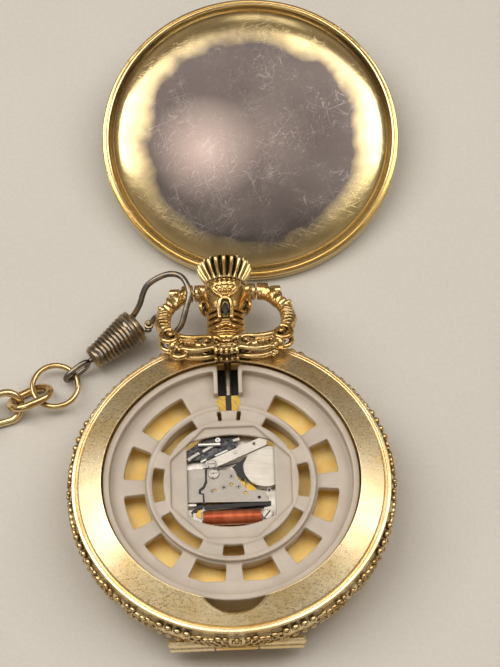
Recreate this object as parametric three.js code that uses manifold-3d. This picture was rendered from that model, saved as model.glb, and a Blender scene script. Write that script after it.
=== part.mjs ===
// Quartz pocket watch in a hunter case, lying face down on its closed front lid.
// The press-fit back cover is off and lies behind the crown; a clasp and chain hang on the bow.
// Millimetres. +Y points to 12 o'clock, +Z up, away from the dial. The origin is the
// centre of the flat medallion of the front lid, which rests on the table.
import * as THREE from 'three';
import { mergeVertices } from 'three/addons/utils/BufferGeometryUtils.js';
import Module from 'manifold-3d';

const wasm = await Module();
wasm.setup();

// ---------------------------------------------------------------- driving dimensions
const FIT = 0.05;              // running and seating clearance between small parts
const LOOSE = 0.3;             // clearance where a part is seated in a turned group
const CASE_R = 23.5;           // widest radius of the case band
const CASE_WALL = 2.3;         // band thickness, widest point to movement bore
const CASE_BOTTOM_Z = 4.6;     // underside of the band, above the table
const CASE_WIDEST_Z = 7;
const BEZEL_SEAT_Z = 5.9;      // top of the crystal bezel, where the dial rests
const FLANGE_IN_R = 18.6;      // inner edge of the sloping back flange
const FLANGE_TOP_Z = 11.8;
const FLANGE_SLOPE = 1.6;      // drop of the flange from its inner to its outer edge
const RIM_WIDTH = 0.5;         // thin rim ring outside the flange
const RIM_GROOVE = 0.35;
const NOTCH_WIDTH = 8.2;       // recess in the flange at 6 o'clock
const NOTCH_DEPTH = 1.9;
const LID_SETBACK = 0.9;       // the lid's edge inside the widest part of the case
const LID_HEIGHT = 3.2;
const LID_WALL = 0.5;
const LID_FLAT_R = 14;         // flat medallion that rests on the table
const HINGE_HALF = 9.5;        // half length of the lid hinge
const HINGE_BARREL_R = 0.9;
const HINGE_PIN_R = 0.4;
const LID_KNUCKLE_HALF = 3;
const CRYSTAL_THICK = 1.1;
const BEZEL_THICK = 2.2;
const DIAL_THICK = 0.4;
const DIAL_HOLE_R = 1.1;
const STEM_Z = 7.6;            // height of the stem, crown and bow pivot
const STEM_R = 0.5;
const STEM_INNER_Y = 6.4;
const PENDANT_BASE_R = 3.2;
const PENDANT_HEAD_R = 4.1;
const PENDANT_REACH = 9.4;     // pendant top beyond the widest part of the case
const CROWN_R = 4.2;
const CROWN_LENGTH = 3.5;
const BOW_PIVOT_SETBACK = 0.9; // bow pivot below the pendant's top
const BOW_LENGTH = 13.2;       // pivot to the middle of the bow's bar
const BOW_HALF_WIDTH = 9.1;    // centre line of the arms
const BOW_TILT = 24;           // degrees above level, folded over the back
const BOW_BAR_HALF = 2.1;      // half width of the bar, in the bow's plane
const BOW_ARM_HALF = 1.35;
const BOW_HALF_THICK = 1.15;
const BOW_PIN_R = 0.42;
const MOVEMENT_HALF_X = 7.6;
const MOVEMENT_HALF_Y = 8.4;
const MOVEMENT_HEIGHT = 3.15;
const PLATE_THICK = 0.8;
const BRIDGE_THICK = 0.35;
const BATTERY_R = 3.2;
const BATTERY_THICK = 1.25;
const COIL_HALF_LENGTH = 4.3;
const COIL_R = 1.1;
const HOLDER_PLATE_TOP_Z = 8.9;
const HOLDER_WALL = 0.8;
const RING_WALL_IN_R = 11.4;
const RING_WALL_TOP_Z = 11.3;
const WELL_HALF = 9;           // half width of the octagonal well for the movement
const COVER_R = 22.9;
const COVER_DOME = 2;          // height of the cover's dome
const COVER_WALL_HEIGHT = 1.8;
const COVER_THICK = 0.6;
const COVER_TILT = 10;         // degrees, far edge raised
const COVER_X = 4.7;
const COVER_BEYOND = 24.1;     // centre of the back cover beyond the crown's end
const SLEEVE_LENGTH = 8.4;
const SLEEVE_WIDE_R = 2.8;
const SLEEVE_NARROW_R = 1.6;
const HOOK_WIRE_R = 0.45;
const EYE_WIRE_R = 0.4;
const EYE_HALF_WIDTH = 1.1;
const EYE_LENGTH = 4.2;
const RING_R = 3.4;            // centre line of the jump ring
const RING_WIRE_R = 0.425;
const LINK_HALF_LENGTH = 3.15; // centre line of a chain link
const LINK_HALF_WIDTH = 2.2;
const LINK_WIRE_R = 0.6;
const LINK_PITCH = 4.7;
const LINK_LEAN = 40;          // degrees from flat, left and right in turn
const LINK_COUNT = 3;
const COIL_TURN_OUT_R = 25.5;  // first and last turn of the stored chain
const COIL_TURN_IN_R = 17.3;
const TBAR_HALF = 7;
const TBAR_R = 1;

// ---------------------------------------------------------------- derived places
const BORE_R = CASE_R - CASE_WALL;
const LID_R = CASE_R - LID_SETBACK;
const PENDANT_TOP_Y = CASE_R + PENDANT_REACH;
const BOW_PIVOT_Y = PENDANT_TOP_Y - BOW_PIVOT_SETBACK;
const FLANGE_OUT_R = CASE_R - 1.4;
const FLANGE_OUT_Z = FLANGE_TOP_Z - FLANGE_SLOPE;
const DIAL_BOTTOM_Z = BEZEL_SEAT_Z + FIT;
const DIAL_TOP_Z = DIAL_BOTTOM_Z + DIAL_THICK;
const MOVEMENT_BOTTOM_Z = DIAL_TOP_Z + FIT;
const MOVEMENT_TOP_Z = MOVEMENT_BOTTOM_Z + MOVEMENT_HEIGHT;
const PLATE_BOTTOM_Z = MOVEMENT_BOTTOM_Z + 0.75;
const PLATE_TOP_Z = PLATE_BOTTOM_Z + PLATE_THICK;
const BRIDGE_BOTTOM_Z = MOVEMENT_TOP_Z - 0.6;
const BRIDGE_TOP_Z = BRIDGE_BOTTOM_Z + BRIDGE_THICK;
const HINGE_Y = -(BORE_R + 1);
const HINGE_Z = CASE_BOTTOM_Z - HINGE_BARREL_R - 0.1;
const HOLDER_R = FLANGE_IN_R - 0.3;
const CROWN_BASE_Y = PENDANT_TOP_Y + LOOSE;
const COVER_Y = CROWN_BASE_Y + CROWN_LENGTH + COVER_BEYOND;
const CHAIN_Z = LINK_HALF_WIDTH * Math.sin(LINK_LEAN * Math.PI / 180) + LINK_WIRE_R;
const CHAIN_TUBE_R = LINK_HALF_WIDTH * Math.cos(LINK_LEAN * Math.PI / 180) + LINK_WIRE_R - 0.3;

// ---------------------------------------------------------------- finishes
const finish = (color, metalness, roughness) =>
  new THREE.MeshStandardMaterial({ color, metalness, roughness });
const gold = () => finish(0xd9b36a, 1, 0.25);
const steel = () => finish(0xc2c0bb, 1, 0.35);
const brass = () => finish(0xd8b04a, 1, 0.4);
const darkSteel = () => finish(0x4c4540, 1, 0.4);
const milkyPlastic = () => finish(0xd8cdc2, 0, 0.45);

// ---------------------------------------------------------------- solid tools
const radians = (degrees) => degrees * Math.PI / 180;

// A closed geometry as a manifold solid, with its faces turned outward.
function solid(geometry) {
  const bare = geometry.clone();
  bare.deleteAttribute('normal');
  bare.deleteAttribute('uv');
  const merged = mergeVertices(bare, 1e-4);
  const place = merged.attributes.position.array;
  const corners = merged.index.array;
  const kept = [];
  let volume = 0;
  const point = (i) => new THREE.Vector3().fromArray(place, 3 * i);
  for (let i = 0; i < corners.length; i += 3) {
    const [a, b, c] = [corners[i], corners[i + 1], corners[i + 2]];
    if (a === b || b === c || c === a) continue;
    kept.push([a, b, c]);
    volume += point(a).dot(point(b).cross(point(c)));
  }
  const triVerts = new Uint32Array(kept.flatMap(([a, b, c]) => (volume < 0 ? [a, c, b] : [a, b, c])));
  const vertProperties = new Float32Array(place);
  return new wasm.Manifold(new wasm.Mesh({ numProp: 3, vertProperties, triVerts }));
}

function geometryOf(body) {
  const mesh = body.getMesh();
  const geometry = new THREE.BufferGeometry();
  geometry.setAttribute('position', new THREE.BufferAttribute(new Float32Array(mesh.vertProperties), 3));
  geometry.setIndex(new THREE.BufferAttribute(new Uint32Array(mesh.triVerts), 1));
  geometry.computeVertexNormals();
  return geometry;
}

// A turned shape about Z from its outline [radius, z], closed by itself or by the axis.
function turned(outline, segments = 40) {
  const closed = outline[0][0] > 0 ? [...outline, outline[0]] : outline;
  const points = closed.map(([r, z]) => new THREE.Vector2(r, z));
  return solid(new THREE.LatheGeometry(points, segments).rotateX(Math.PI / 2));
}

const disc = (r, z0, z1, segments = 32) => turned([[0, z0], [r, z0], [r, z1], [0, z1]], segments);
const ring = (r0, r1, z0, z1, segments = 40) => turned([[r0, z0], [r1, z0], [r1, z1], [r0, z1]], segments);

function box(x0, x1, y0, y1, z0, z1) {
  const shape = new THREE.BoxGeometry(x1 - x0, y1 - y0, z1 - z0);
  return solid(shape.translate((x0 + x1) / 2, (y0 + y1) / 2, (z0 + z1) / 2));
}

// A flat outline of [x, y] points, or a Shape, raised from z0 to z1.
function raised(outline, z0, z1, curveSegments = 6) {
  const shape = outline instanceof THREE.Shape
    ? outline
    : new THREE.Shape(outline.map(([x, y]) => new THREE.Vector2(x, y)));
  const options = { depth: z1 - z0, bevelEnabled: false, curveSegments };
  return solid(new THREE.ExtrudeGeometry(shape, options).translate(0, 0, z0));
}

// The part of a flat ring between two angles in degrees.
function sector(r0, r1, from, to, z0, z1, steps = 2) {
  const outline = [];
  const at = (r, k) => {
    const angle = radians(from + (to - from) * k / steps);
    return [r * Math.cos(angle), r * Math.sin(angle)];
  };
  for (let k = 0; k <= steps; k++) outline.push(at(r0, k));
  for (let k = steps; k >= 0; k--) outline.push(at(r1, k));
  return raised(outline, z0, z1);
}

// A round bar along +X, +Y or +Z from one end to the other.
function bar(axis, r, from, to, [x, y, z], segments = 12) {
  const body = new THREE.CylinderGeometry(r, r, to - from, segments);
  const middle = (from + to) / 2;
  if (axis === 'x') body.rotateZ(Math.PI / 2).translate(middle, y, z);
  if (axis === 'y') body.translate(x, middle, z);
  if (axis === 'z') body.rotateX(Math.PI / 2).translate(x, y, middle);
  return solid(body);
}

// A turned shape about the stem's axis, from its outline [radius, y].
function turnedOnStem(outline, segments = 24) {
  const closed = outline[0][0] > 0 ? [...outline, outline[0]] : outline;
  const points = closed.map(([r, y]) => new THREE.Vector2(r, y));
  return solid(new THREE.LatheGeometry(points, segments).translate(0, 0, STEM_Z));
}

// A wire swept along a curve that lies roughly in the plane normal to up. The section is
// an ellipse of half sizes half(t) = [in that plane, along up]; a closed curve has no ends.
function wire(curve, steps, sides, half, up, closed = false) {
  const rows = closed ? steps : steps + 1;
  const place = [];
  const index = [];
  for (let i = 0; i < rows; i++) {
    const t = i / steps;
    const centre = curve.getPointAt(t);
    const across = curve.getTangentAt(t).cross(up).normalize();
    const lift = across.clone().cross(curve.getTangentAt(t)).normalize();
    const [a, b] = half(t);
    for (let j = 0; j < sides; j++) {
      const turn = 2 * Math.PI * j / sides;
      const point = centre.clone().addScaledVector(across, a * Math.cos(turn));
      point.addScaledVector(lift, b * Math.sin(turn));
      place.push(point.x, point.y, point.z);
    }
  }
  const bands = closed ? rows : rows - 1;
  for (let i = 0; i < bands; i++) {
    for (let j = 0; j < sides; j++) {
      const a = i * sides + j;
      const b = i * sides + (j + 1) % sides;
      const c = ((i + 1) % rows) * sides + j;
      const d = ((i + 1) % rows) * sides + (j + 1) % sides;
      index.push(a, c, b, b, c, d);
    }
  }
  if (!closed) {
    for (let j = 1; j < sides - 1; j++) {
      const last = (rows - 1) * sides;
      index.push(0, j, j + 1, last, last + j + 1, last + j);
    }
  }
  const geometry = new THREE.BufferGeometry();
  geometry.setAttribute('position', new THREE.Float32BufferAttribute(place, 3));
  geometry.setIndex(index);
  return solid(geometry);
}

const vector = ([x, y, z]) => new THREE.Vector3(x, y, z);
const through = (points, closed = false) =>
  new THREE.CatmullRomCurve3(points.map(vector), closed, 'centripetal');
const UP = new THREE.Vector3(0, 0, 1);

// A flat gear wheel with pointed teeth.
function gear(teeth, pitchRadius, z0, z1, [x, y], boreR = 0) {
  const module = 2 * pitchRadius / teeth;
  const outline = [];
  for (let k = 0; k < 2 * teeth; k++) {
    const r = pitchRadius + (k % 2 ? 0.75 : -1) * module;
    const angle = Math.PI * k / teeth;
    outline.push([x + r * Math.cos(angle), y + r * Math.sin(angle)]);
  }
  const wheel = raised(outline, z0, z1);
  return boreR ? wheel.subtract(bar('z', boreR, z0 - 1, z1 + 1, [x, y, 0], 12)) : wheel;
}

// ---------------------------------------------------------------- assembly
const watch = new THREE.Group();

function add(name, body, material, parent = watch) {
  const mesh = new THREE.Mesh(geometryOf(body), material);
  mesh.name = name;
  parent.add(mesh);
  return mesh;
}

// ---------------------------------------------------------------- case
function caseBand() {
  const rimOut = FLANGE_OUT_R + RIM_GROOVE + RIM_WIDTH;
  let body = turned([
    [BORE_R, CASE_BOTTOM_Z],
    [CASE_R - 0.6, CASE_BOTTOM_Z],
    [CASE_R - 0.1, CASE_WIDEST_Z - 1.4],
    [CASE_R, CASE_WIDEST_Z],
    [CASE_R - 0.15, CASE_WIDEST_Z + 1.4],
    [rimOut, FLANGE_OUT_Z - 0.5],
    [rimOut, FLANGE_OUT_Z - 0.1],
    [FLANGE_OUT_R + RIM_GROOVE, FLANGE_OUT_Z - 0.1],
    [FLANGE_OUT_R + RIM_GROOVE, FLANGE_OUT_Z - 0.5],
    [FLANGE_OUT_R, FLANGE_OUT_Z - 0.5],
    [FLANGE_OUT_R, FLANGE_OUT_Z],
    [FLANGE_IN_R, FLANGE_TOP_Z],
    [FLANGE_IN_R, FLANGE_TOP_Z - 0.6],
    [BORE_R, FLANGE_OUT_Z - 0.9],
  ], 48);
  const knuckles = [-1, 1].map((side) => {
    const ends = [side * (LID_KNUCKLE_HALF + 0.2), side * HINGE_HALF].sort((a, b) => a - b);
    const web = box(...ends, HINGE_Y - 0.75, HINGE_Y + 0.75, HINGE_Z, CASE_BOTTOM_Z + 0.4);
    return bar('x', HINGE_BARREL_R, ...ends, [0, HINGE_Y, HINGE_Z]).add(web);
  });
  body = body.add(knuckles[0]).add(knuckles[1]);
  body = body.subtract(disc(BORE_R, 0, CASE_BOTTOM_Z + 1, 48));
  body = body.subtract(bar('x', HINGE_PIN_R + FIT, -HINGE_HALF - 1, HINGE_HALF + 1, [0, HINGE_Y, HINGE_Z]));
  const notchR = (NOTCH_WIDTH ** 2 / 4 + NOTCH_DEPTH ** 2) / (2 * NOTCH_DEPTH);
  const notchY = -(FLANGE_IN_R + NOTCH_DEPTH - notchR);
  body = body.subtract(bar('z', notchR, FLANGE_OUT_Z - 0.8, FLANGE_TOP_Z + 1, [0, notchY, 0], 32));
  const stemHole = bar('y', STEM_R + LOOSE, BORE_R - 2, CASE_R + 1, [0, 0, STEM_Z]);
  return body.subtract(stemHole);
}

function frontLid() {
  const shoulder = LID_R - 2.6;
  let body = turned([
    [0, 0],
    [LID_FLAT_R, 0],
    [shoulder, 0.8],
    [LID_R - 0.3, 2],
    [LID_R, LID_HEIGHT],
    [LID_R - LID_WALL * 2, LID_HEIGHT],
    [LID_R - LID_WALL * 2, 2.3],
    [shoulder - 0.2, 0.8 + LID_WALL],
    [LID_FLAT_R, LID_WALL],
    [0, LID_WALL],
  ]);
  const gapY = HINGE_Y + HINGE_BARREL_R + 0.15;
  body = body.subtract(box(-HINGE_HALF - 1, HINGE_HALF + 1, -LID_R - 2, gapY, 1.2, LID_HEIGHT + 1));
  const half = LID_KNUCKLE_HALF;
  const leaf = box(-half, half, HINGE_Y, gapY + 0.6, LID_HEIGHT / 2 - 0.1, LID_HEIGHT);
  const knuckle = bar('x', HINGE_BARREL_R, -half, half, [0, HINGE_Y, HINGE_Z]);
  const bore = bar('x', HINGE_PIN_R + FIT, -half - 1, half + 1, [0, HINGE_Y, HINGE_Z]);
  return body.add(leaf).add(knuckle).subtract(bore);
}

function crystalBezel() {
  const bottom = BEZEL_SEAT_Z - BEZEL_THICK;
  const crystalR = BORE_R - 1.2;
  const lip = bottom + CRYSTAL_THICK + 0.2;
  return turned([
    [crystalR + FIT, bottom],
    [BORE_R - FIT, bottom],
    [BORE_R - FIT, BEZEL_SEAT_Z],
    [crystalR - 1, BEZEL_SEAT_Z],
    [crystalR - 1, lip],
    [crystalR + FIT, lip],
  ]);
}

function crystal() {
  const bottom = BEZEL_SEAT_Z - BEZEL_THICK + 0.15;
  return disc(BORE_R - 1.2, bottom, bottom + CRYSTAL_THICK, 40);
}

function dial() {
  return ring(DIAL_HOLE_R, BORE_R - 0.5, DIAL_BOTTOM_Z, DIAL_TOP_Z);
}

// A spring strip that stands behind the notch at 6 o'clock and pushes the lid open.
function lidSpring() {
  const back = BORE_R - LOOSE;
  const strip = sector(back - 0.5, back, 255, 285, DIAL_TOP_Z + FIT, FLANGE_OUT_Z - 1.3, 6);
  const tongueTop = FLANGE_OUT_Z - 1;
  return strip.add(box(-1.05, 1.05, -back, -back + 1.1, DIAL_TOP_Z + 1, tongueTop));
}

// A catch at 12 o'clock that holds the lid shut.
function lidCatch() {
  const back = BORE_R - LOOSE;
  const strip = sector(back - 0.5, back, 62, 84, DIAL_TOP_Z + FIT, FLANGE_OUT_Z - 1.3, 6);
  return strip.add(sector(back - 1.4, back, 62, 66, DIAL_TOP_Z + FIT, DIAL_TOP_Z + 1.5, 2));
}

function hingePin() {
  return bar('x', HINGE_PIN_R, -HINGE_HALF - 0.1, HINGE_HALF + 0.1, [0, HINGE_Y, HINGE_Z], 12);
}

function pendant() {
  const base = CASE_R - 0.6;
  const head = PENDANT_HEAD_R;
  const body = turnedOnStem([
    [STEM_R + LOOSE, base],
    [PENDANT_BASE_R, base],
    [PENDANT_BASE_R, base + 2],
    [PENDANT_BASE_R - 0.3, base + 3.2],
    [PENDANT_BASE_R + 0.2, base + 4.6],
    [head - 0.3, PENDANT_TOP_Y - 3.4],
    [head, PENDANT_TOP_Y - 2],
    [head, PENDANT_TOP_Y - 0.4],
    [head - 0.9, PENDANT_TOP_Y],
    [STEM_R + LOOSE, PENDANT_TOP_Y],
  ]);
  return body.subtract(disc(CASE_R + FIT, 0, FLANGE_TOP_Z + 2, 48));
}

function bowPin(side) {
  const from = PENDANT_HEAD_R + FIT;
  const to = from + 3;
  const place = [0, BOW_PIVOT_Y, STEM_Z];
  const order = (a, b) => (side < 0 ? [-b, -a] : [a, b]);
  const shank = bar('x', BOW_PIN_R, ...order(from, to), place, 12);
  return shank.add(bar('x', BOW_PIN_R * 2, ...order(to - 0.5, to), place, 12));
}

// ---------------------------------------------------------------- crown and stem
function crown() {
  const end = CROWN_BASE_Y + CROWN_LENGTH;
  const body = turnedOnStem([
    [0, CROWN_BASE_Y],
    [CROWN_R - 1.3, CROWN_BASE_Y],
    [CROWN_R - 0.5, CROWN_BASE_Y + 0.8],
    [CROWN_R, CROWN_BASE_Y + 2],
    [CROWN_R - 0.25, end - 0.7],
    [CROWN_R - 1.2, end],
    [0, end],
  ], 24);
  return body.subtract(bar('y', STEM_R + FIT, CROWN_BASE_Y - 1, CROWN_BASE_Y + 2, [0, 0, STEM_Z]));
}

function stem() {
  return bar('y', STEM_R, STEM_INNER_Y, CROWN_BASE_Y + 1.9, [0, 0, STEM_Z], 12);
}

// The lever whose tip drops in the stem's groove.
function settingLever() {
  const bottom = STEM_Z + STEM_R + FIT;
  const y = STEM_INNER_Y + 0.3;
  return box(-1.3, 0.9, y, y + 0.7, bottom, bottom + 0.35);
}

// ---------------------------------------------------------------- bow, in its own plane
function bow() {
  const half = BOW_HALF_WIDTH;
  const ear = PENDANT_HEAD_R + 1.5;
  const arm = [
    [ear, -0.2], [ear + 1.7, -1.8], [half, -5], [half - 0.4, -8.8], [half - 3, -BOW_LENGTH + 1.2],
  ];
  const points = [...arm, [0, -BOW_LENGTH], ...arm.map(([x, y]) => [-x, y]).reverse()];
  const curve = through(points.map(([x, y]) => [x, y, 0]));
  const atBar = (t) => Math.max(0, 1 - Math.abs(t - 0.5) / 0.28);
  const width = (t) => BOW_ARM_HALF + (BOW_BAR_HALF - BOW_ARM_HALF) * Math.sqrt(atBar(t));
  let body = wire(curve, 30, 8, (t) => [width(t), BOW_HALF_THICK], UP);
  for (const side of [-1, 1]) {
    const ends = (a, b) => [Math.min(side * a, side * b), Math.max(side * a, side * b)];
    body = body.add(bar('x', BOW_HALF_THICK + 0.15, ...ends(ear - 1, ear + 0.9), [0, 0, 0], 12));
    body = body.subtract(bar('x', BOW_PIN_R + 0.08, ...ends(PENDANT_HEAD_R, ear + 3), [0, 0, 0], 12));
    body = body.subtract(bar('x', BOW_PIN_R * 2 + 0.15, ...ends(ear + 0.9, ear + 3), [0, 0, 0], 12));
  }
  return body;
}

// ---------------------------------------------------------------- movement holder
function movementHolder() {
  const top = HOLDER_PLATE_TOP_Z;
  const foot = DIAL_TOP_Z + FIT;
  const wallR = RING_WALL_IN_R + HOLDER_WALL;
  const innerTop = MOVEMENT_TOP_Z + 0.35;
  let body = ring(RING_WALL_IN_R, HOLDER_R, top - HOLDER_WALL, top);
  body = body.add(ring(HOLDER_R - HOLDER_WALL, HOLDER_R, foot, top + 0.4));
  body = body.add(ring(RING_WALL_IN_R, wallR, foot, RING_WALL_TOP_Z));
  const octagon = (half, z0, z1) => raised([...Array(8).keys()].map((k) => {
    const angle = Math.PI * (k + 0.5) / 4;
    const r = half / Math.cos(Math.PI / 8);
    return [r * Math.cos(angle), r * Math.sin(angle)];
  }), z0, z1);
  const innerPlate = disc(RING_WALL_IN_R + 0.1, innerTop - HOLDER_WALL, innerTop);
  body = body.add(innerPlate.add(octagon(WELL_HALF + 0.5, foot, innerTop)));
  body = body.subtract(octagon(WELL_HALF, foot - 1, innerTop - 0.3));
  body = body.subtract(movementOpening(innerTop - 1, innerTop + 1));
  for (let k = 0; k < 12; k++) {
    const middle = 15 + 30 * k;
    const besideSlot = Math.abs(middle - 90) < 20;
    const from = besideSlot ? 14.7 : wallR;
    const half = besideSlot ? 4 : 10;
    body = body.subtract(sector(from, 15.4, middle - half, middle + half, foot - 1, top + 0.2));
  }
  for (let k = 0; k < 8; k++) {
    const middle = 45 * k;
    const half = k === 2 || k === 6 ? 7 : 14;
    const [from, to] = [middle - half, middle + half];
    body = body.subtract(sector(9.7, RING_WALL_IN_R - 0.1, from, to, foot - 1, innerTop + 0.2));
  }
  const slotWall = 0.55;
  const slot = 1.45;
  const crossWallY = 13.9;
  for (const side of [-1, 1]) {
    const near = Math.min(side * slot, side * (slot + slotWall));
    const far = near + slotWall;
    body = body.add(box(near, far, crossWallY, HOLDER_R - 0.6, top - 0.5, RING_WALL_TOP_Z - 0.7));
  }
  body = body.subtract(box(-slot, slot, crossWallY + 0.9, HOLDER_R + 1, foot - 1, RING_WALL_TOP_Z + 1));
  body = body.subtract(box(-slot, slot, 10.2, crossWallY - 0.2, foot - 1, innerTop + 0.2));
  const stemTunnel = bar('y', STEM_R + LOOSE, MOVEMENT_HALF_Y, HOLDER_R + 1, [0, 0, STEM_Z]);
  return body.subtract(stemTunnel);
}

// The opening that shows the movement: straight sides and two flat arcs.
function movementOpening(z0, z1) {
  const halfX = 6.3;
  const halfY = 6.75;
  const arcR = 12.2;
  const arcs = [1, -1].map((side) => bar('z', arcR, z0, z1, [0, side * (halfY - arcR), 0], 36));
  return box(-halfX, halfX, -halfY - 1, halfY + 1, z0, z1).intersect(arcs[0]).intersect(arcs[1]);
}

// ---------------------------------------------------------------- movement
const CENTRE = [0, 0];
const THIRD = [-2.42, -0.85];
const MIDDLE = [1.98, -1.38];   // intermediate wheel
const ROTOR = [3.94, -2.18];
const MINUTE_WORK = [-2.25, 0.9];
const BATTERY = [5, 2.7];
const COIL_Y = -4.95;
const PIVOT_R = 0.2;

function mainPlate() {
  const x = MOVEMENT_HALF_X - 1;
  const y = MOVEMENT_HALF_Y;
  const corner = 3;
  const outline = [
    [-x, -y + corner], [-x + corner, -y], [x - corner, -y], [x, -y + corner],
    [x, y - corner], [x - corner, y], [-x + corner, y], [-x, y - corner],
  ];
  let body = raised(outline, PLATE_BOTTOM_Z, PLATE_TOP_Z);
  body = body.add(box(-x, -x + 1.5, -3, 3.2, PLATE_BOTTOM_Z, BRIDGE_BOTTOM_Z - FIT));
  body = body.subtract(bar('z', 0.6, 0, 20, [0, 0, 0], 12));
  for (const place of [THIRD, MIDDLE, ROTOR, MINUTE_WORK]) {
    body = body.subtract(bar('z', PIVOT_R + FIT, 0, 20, [...place, 0], 8));
  }
  const half = STEM_R + 0.3;
  const tunnel = box(-half, half, STEM_INNER_Y - 0.6, y + 1, PLATE_BOTTOM_Z - 1, PLATE_TOP_Z + 1);
  return body.subtract(tunnel);
}

function trainBridge() {
  const shape = new THREE.Shape();
  shape.moveTo(-6.4, -2.6);
  shape.lineTo(5.2, -2.9);
  shape.lineTo(4.9, -1.2);
  shape.lineTo(2.4, -1);
  shape.quadraticCurveTo(1.2, 0.2, 0.6, 1.9);
  shape.quadraticCurveTo(-0.6, 2.5, -2, 2.2);
  shape.quadraticCurveTo(-3.6, 2.9, -6.4, 2.4);
  let body = raised(shape, BRIDGE_BOTTOM_Z, BRIDGE_TOP_Z);
  for (const place of [CENTRE, THIRD, MIDDLE, ROTOR]) {
    body = body.subtract(bar('z', PIVOT_R + FIT, 0, 20, [...place, 0], 8));
  }
  return body;
}

function battery() {
  const bottom = PLATE_TOP_Z + FIT;
  return bar('z', BATTERY_R, bottom, bottom + BATTERY_THICK, [...BATTERY, 0], 28);
}

// The long flat lever across the top, which clamps the battery and the circuit.
function batteryClamp() {
  const bottom = MOVEMENT_TOP_Z - 0.22;
  const outline = [[-3.4, 2.7], [-2.5, 2.5], [5.2, 5.9], [5.4, 6.9], [4.3, 7.1], [-3.6, 3.6]];
  return raised(outline, bottom, MOVEMENT_TOP_Z);
}

function screw(x, y, bottom) {
  const body = bar('z', 0.55, bottom, bottom + 0.22, [x, y, 0], 16);
  return body.subtract(box(x - 1, x + 1, y - 0.09, y + 0.09, bottom + 0.12, bottom + 1));
}

function circuitBoard() {
  const bottom = PLATE_TOP_Z + 0.65;
  const outline = [[-6.4, 4.2], [-3.4, 4.2], [0.9, 6.1], [1.2, 7.8], [-3.2, 7.8], [-6.4, 5.6]];
  return raised(outline, bottom, bottom + 0.25);
}

function quartzCan() {
  const z = PLATE_TOP_Z + 1.3;
  return bar('x', 0.33, -4.6, -1.4, [0, 6.4, z], 12);
}

function coilCore() {
  const half = COIL_HALF_LENGTH + 1.3;
  const z = PLATE_TOP_Z + 0.2;
  const core = box(-half, half, COIL_Y - 0.35, COIL_Y + 0.35, z + 0.5, z + 0.85);
  const tab = (x) => box(x - 0.65, x + 0.65, COIL_Y - 0.8, COIL_Y + 0.8, z, z + 0.85);
  return core.add(tab(-half + 0.65)).add(tab(half - 0.65));
}

function coilWinding() {
  const z = PLATE_TOP_Z + 0.875;
  const winding = bar('x', COIL_R, -COIL_HALF_LENGTH, COIL_HALF_LENGTH, [0, COIL_Y, z], 20);
  const bore = box(-9, 9, COIL_Y - 0.35 - FIT, COIL_Y + 0.35 + FIT, PLATE_TOP_Z + 0.65, PLATE_TOP_Z + 1.1);
  return winding.intersect(box(-9, 9, -9, 0, PLATE_TOP_Z + FIT, MOVEMENT_TOP_Z)).subtract(bore);
}

function statorPlate() {
  const z = PLATE_TOP_Z + FIT;
  const strip = box(-5.6, 5.6, -3.75, -3, z, z + 0.2);
  const [x, y] = ROTOR;
  const eye = bar('z', 1.3, z, z + 0.2, [x, y, 0], 20);
  return strip.add(eye).subtract(bar('z', 0.75, z - 1, z + 1, [x, y, 0], 16));
}

// Wheels between the main plate and the train bridge, by height.
const TRAIN_LOW_Z = PLATE_TOP_Z + 0.1;
const TRAIN_MID_Z = PLATE_TOP_Z + 0.4;
const TRAIN_HIGH_Z = PLATE_TOP_Z + 0.7;
const WHEEL_THICK = 0.14;
const PINION_THICK = 0.22;
const THIRD_GAP = Math.hypot(...THIRD);
const MIDDLE_GAP = Math.hypot(...MIDDLE);
const ROTOR_GAP = Math.hypot(ROTOR[0] - MIDDLE[0], ROTOR[1] - MIDDLE[1]);

// Pitch radius of a gear with this many teeth, in mesh with another across a centre distance.
const pitch = (teeth, other, gap) => gap * teeth / (teeth + other);

const arbor = (place, z0, z1) => bar('z', PIVOT_R, z0, z1, [...place, 0], 10);

function secondHand() {
  const z = BEZEL_SEAT_Z - 0.72;
  return raised([[-0.12, -4], [0.12, -4], [0.1, 0], [0.04, 17], [-0.04, 17], [-0.1, 0]], z, z + 0.12)
    .add(bar('z', 0.5, z, z + 0.12, [0, 0, 0], 12));
}

function secondsWheel() {
  const bottom = BEZEL_SEAT_Z - 0.6 + 0.02;
  let body = arbor(CENTRE, bottom, BRIDGE_TOP_Z - FIT);
  body = body.add(gear(6, pitch(6, 45, THIRD_GAP), TRAIN_MID_Z, TRAIN_MID_Z + PINION_THICK, CENTRE));
  return body.add(gear(40, pitch(40, 8, MIDDLE_GAP), TRAIN_HIGH_Z, TRAIN_HIGH_Z + WHEEL_THICK, CENTRE));
}

function thirdWheel() {
  let body = arbor(THIRD, PLATE_BOTTOM_Z + 0.2, BRIDGE_TOP_Z - FIT);
  const low = TRAIN_LOW_Z - 0.02;
  body = body.add(gear(6, pitch(6, 48, THIRD_GAP), low, low + PINION_THICK, THIRD));
  return body.add(gear(45, pitch(45, 6, THIRD_GAP), TRAIN_MID_Z, TRAIN_MID_Z + WHEEL_THICK, THIRD));
}

function centreWheel() {
  const wheel = gear(48, pitch(48, 6, THIRD_GAP), TRAIN_LOW_Z, TRAIN_LOW_Z + WHEEL_THICK, CENTRE);
  const hub = bar('z', 0.5, PLATE_BOTTOM_Z + 0.3, TRAIN_LOW_Z + WHEEL_THICK, [0, 0, 0], 12);
  return wheel.add(hub).subtract(bar('z', PIVOT_R + FIT, 0, 20, [0, 0, 0], 12));
}

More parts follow.
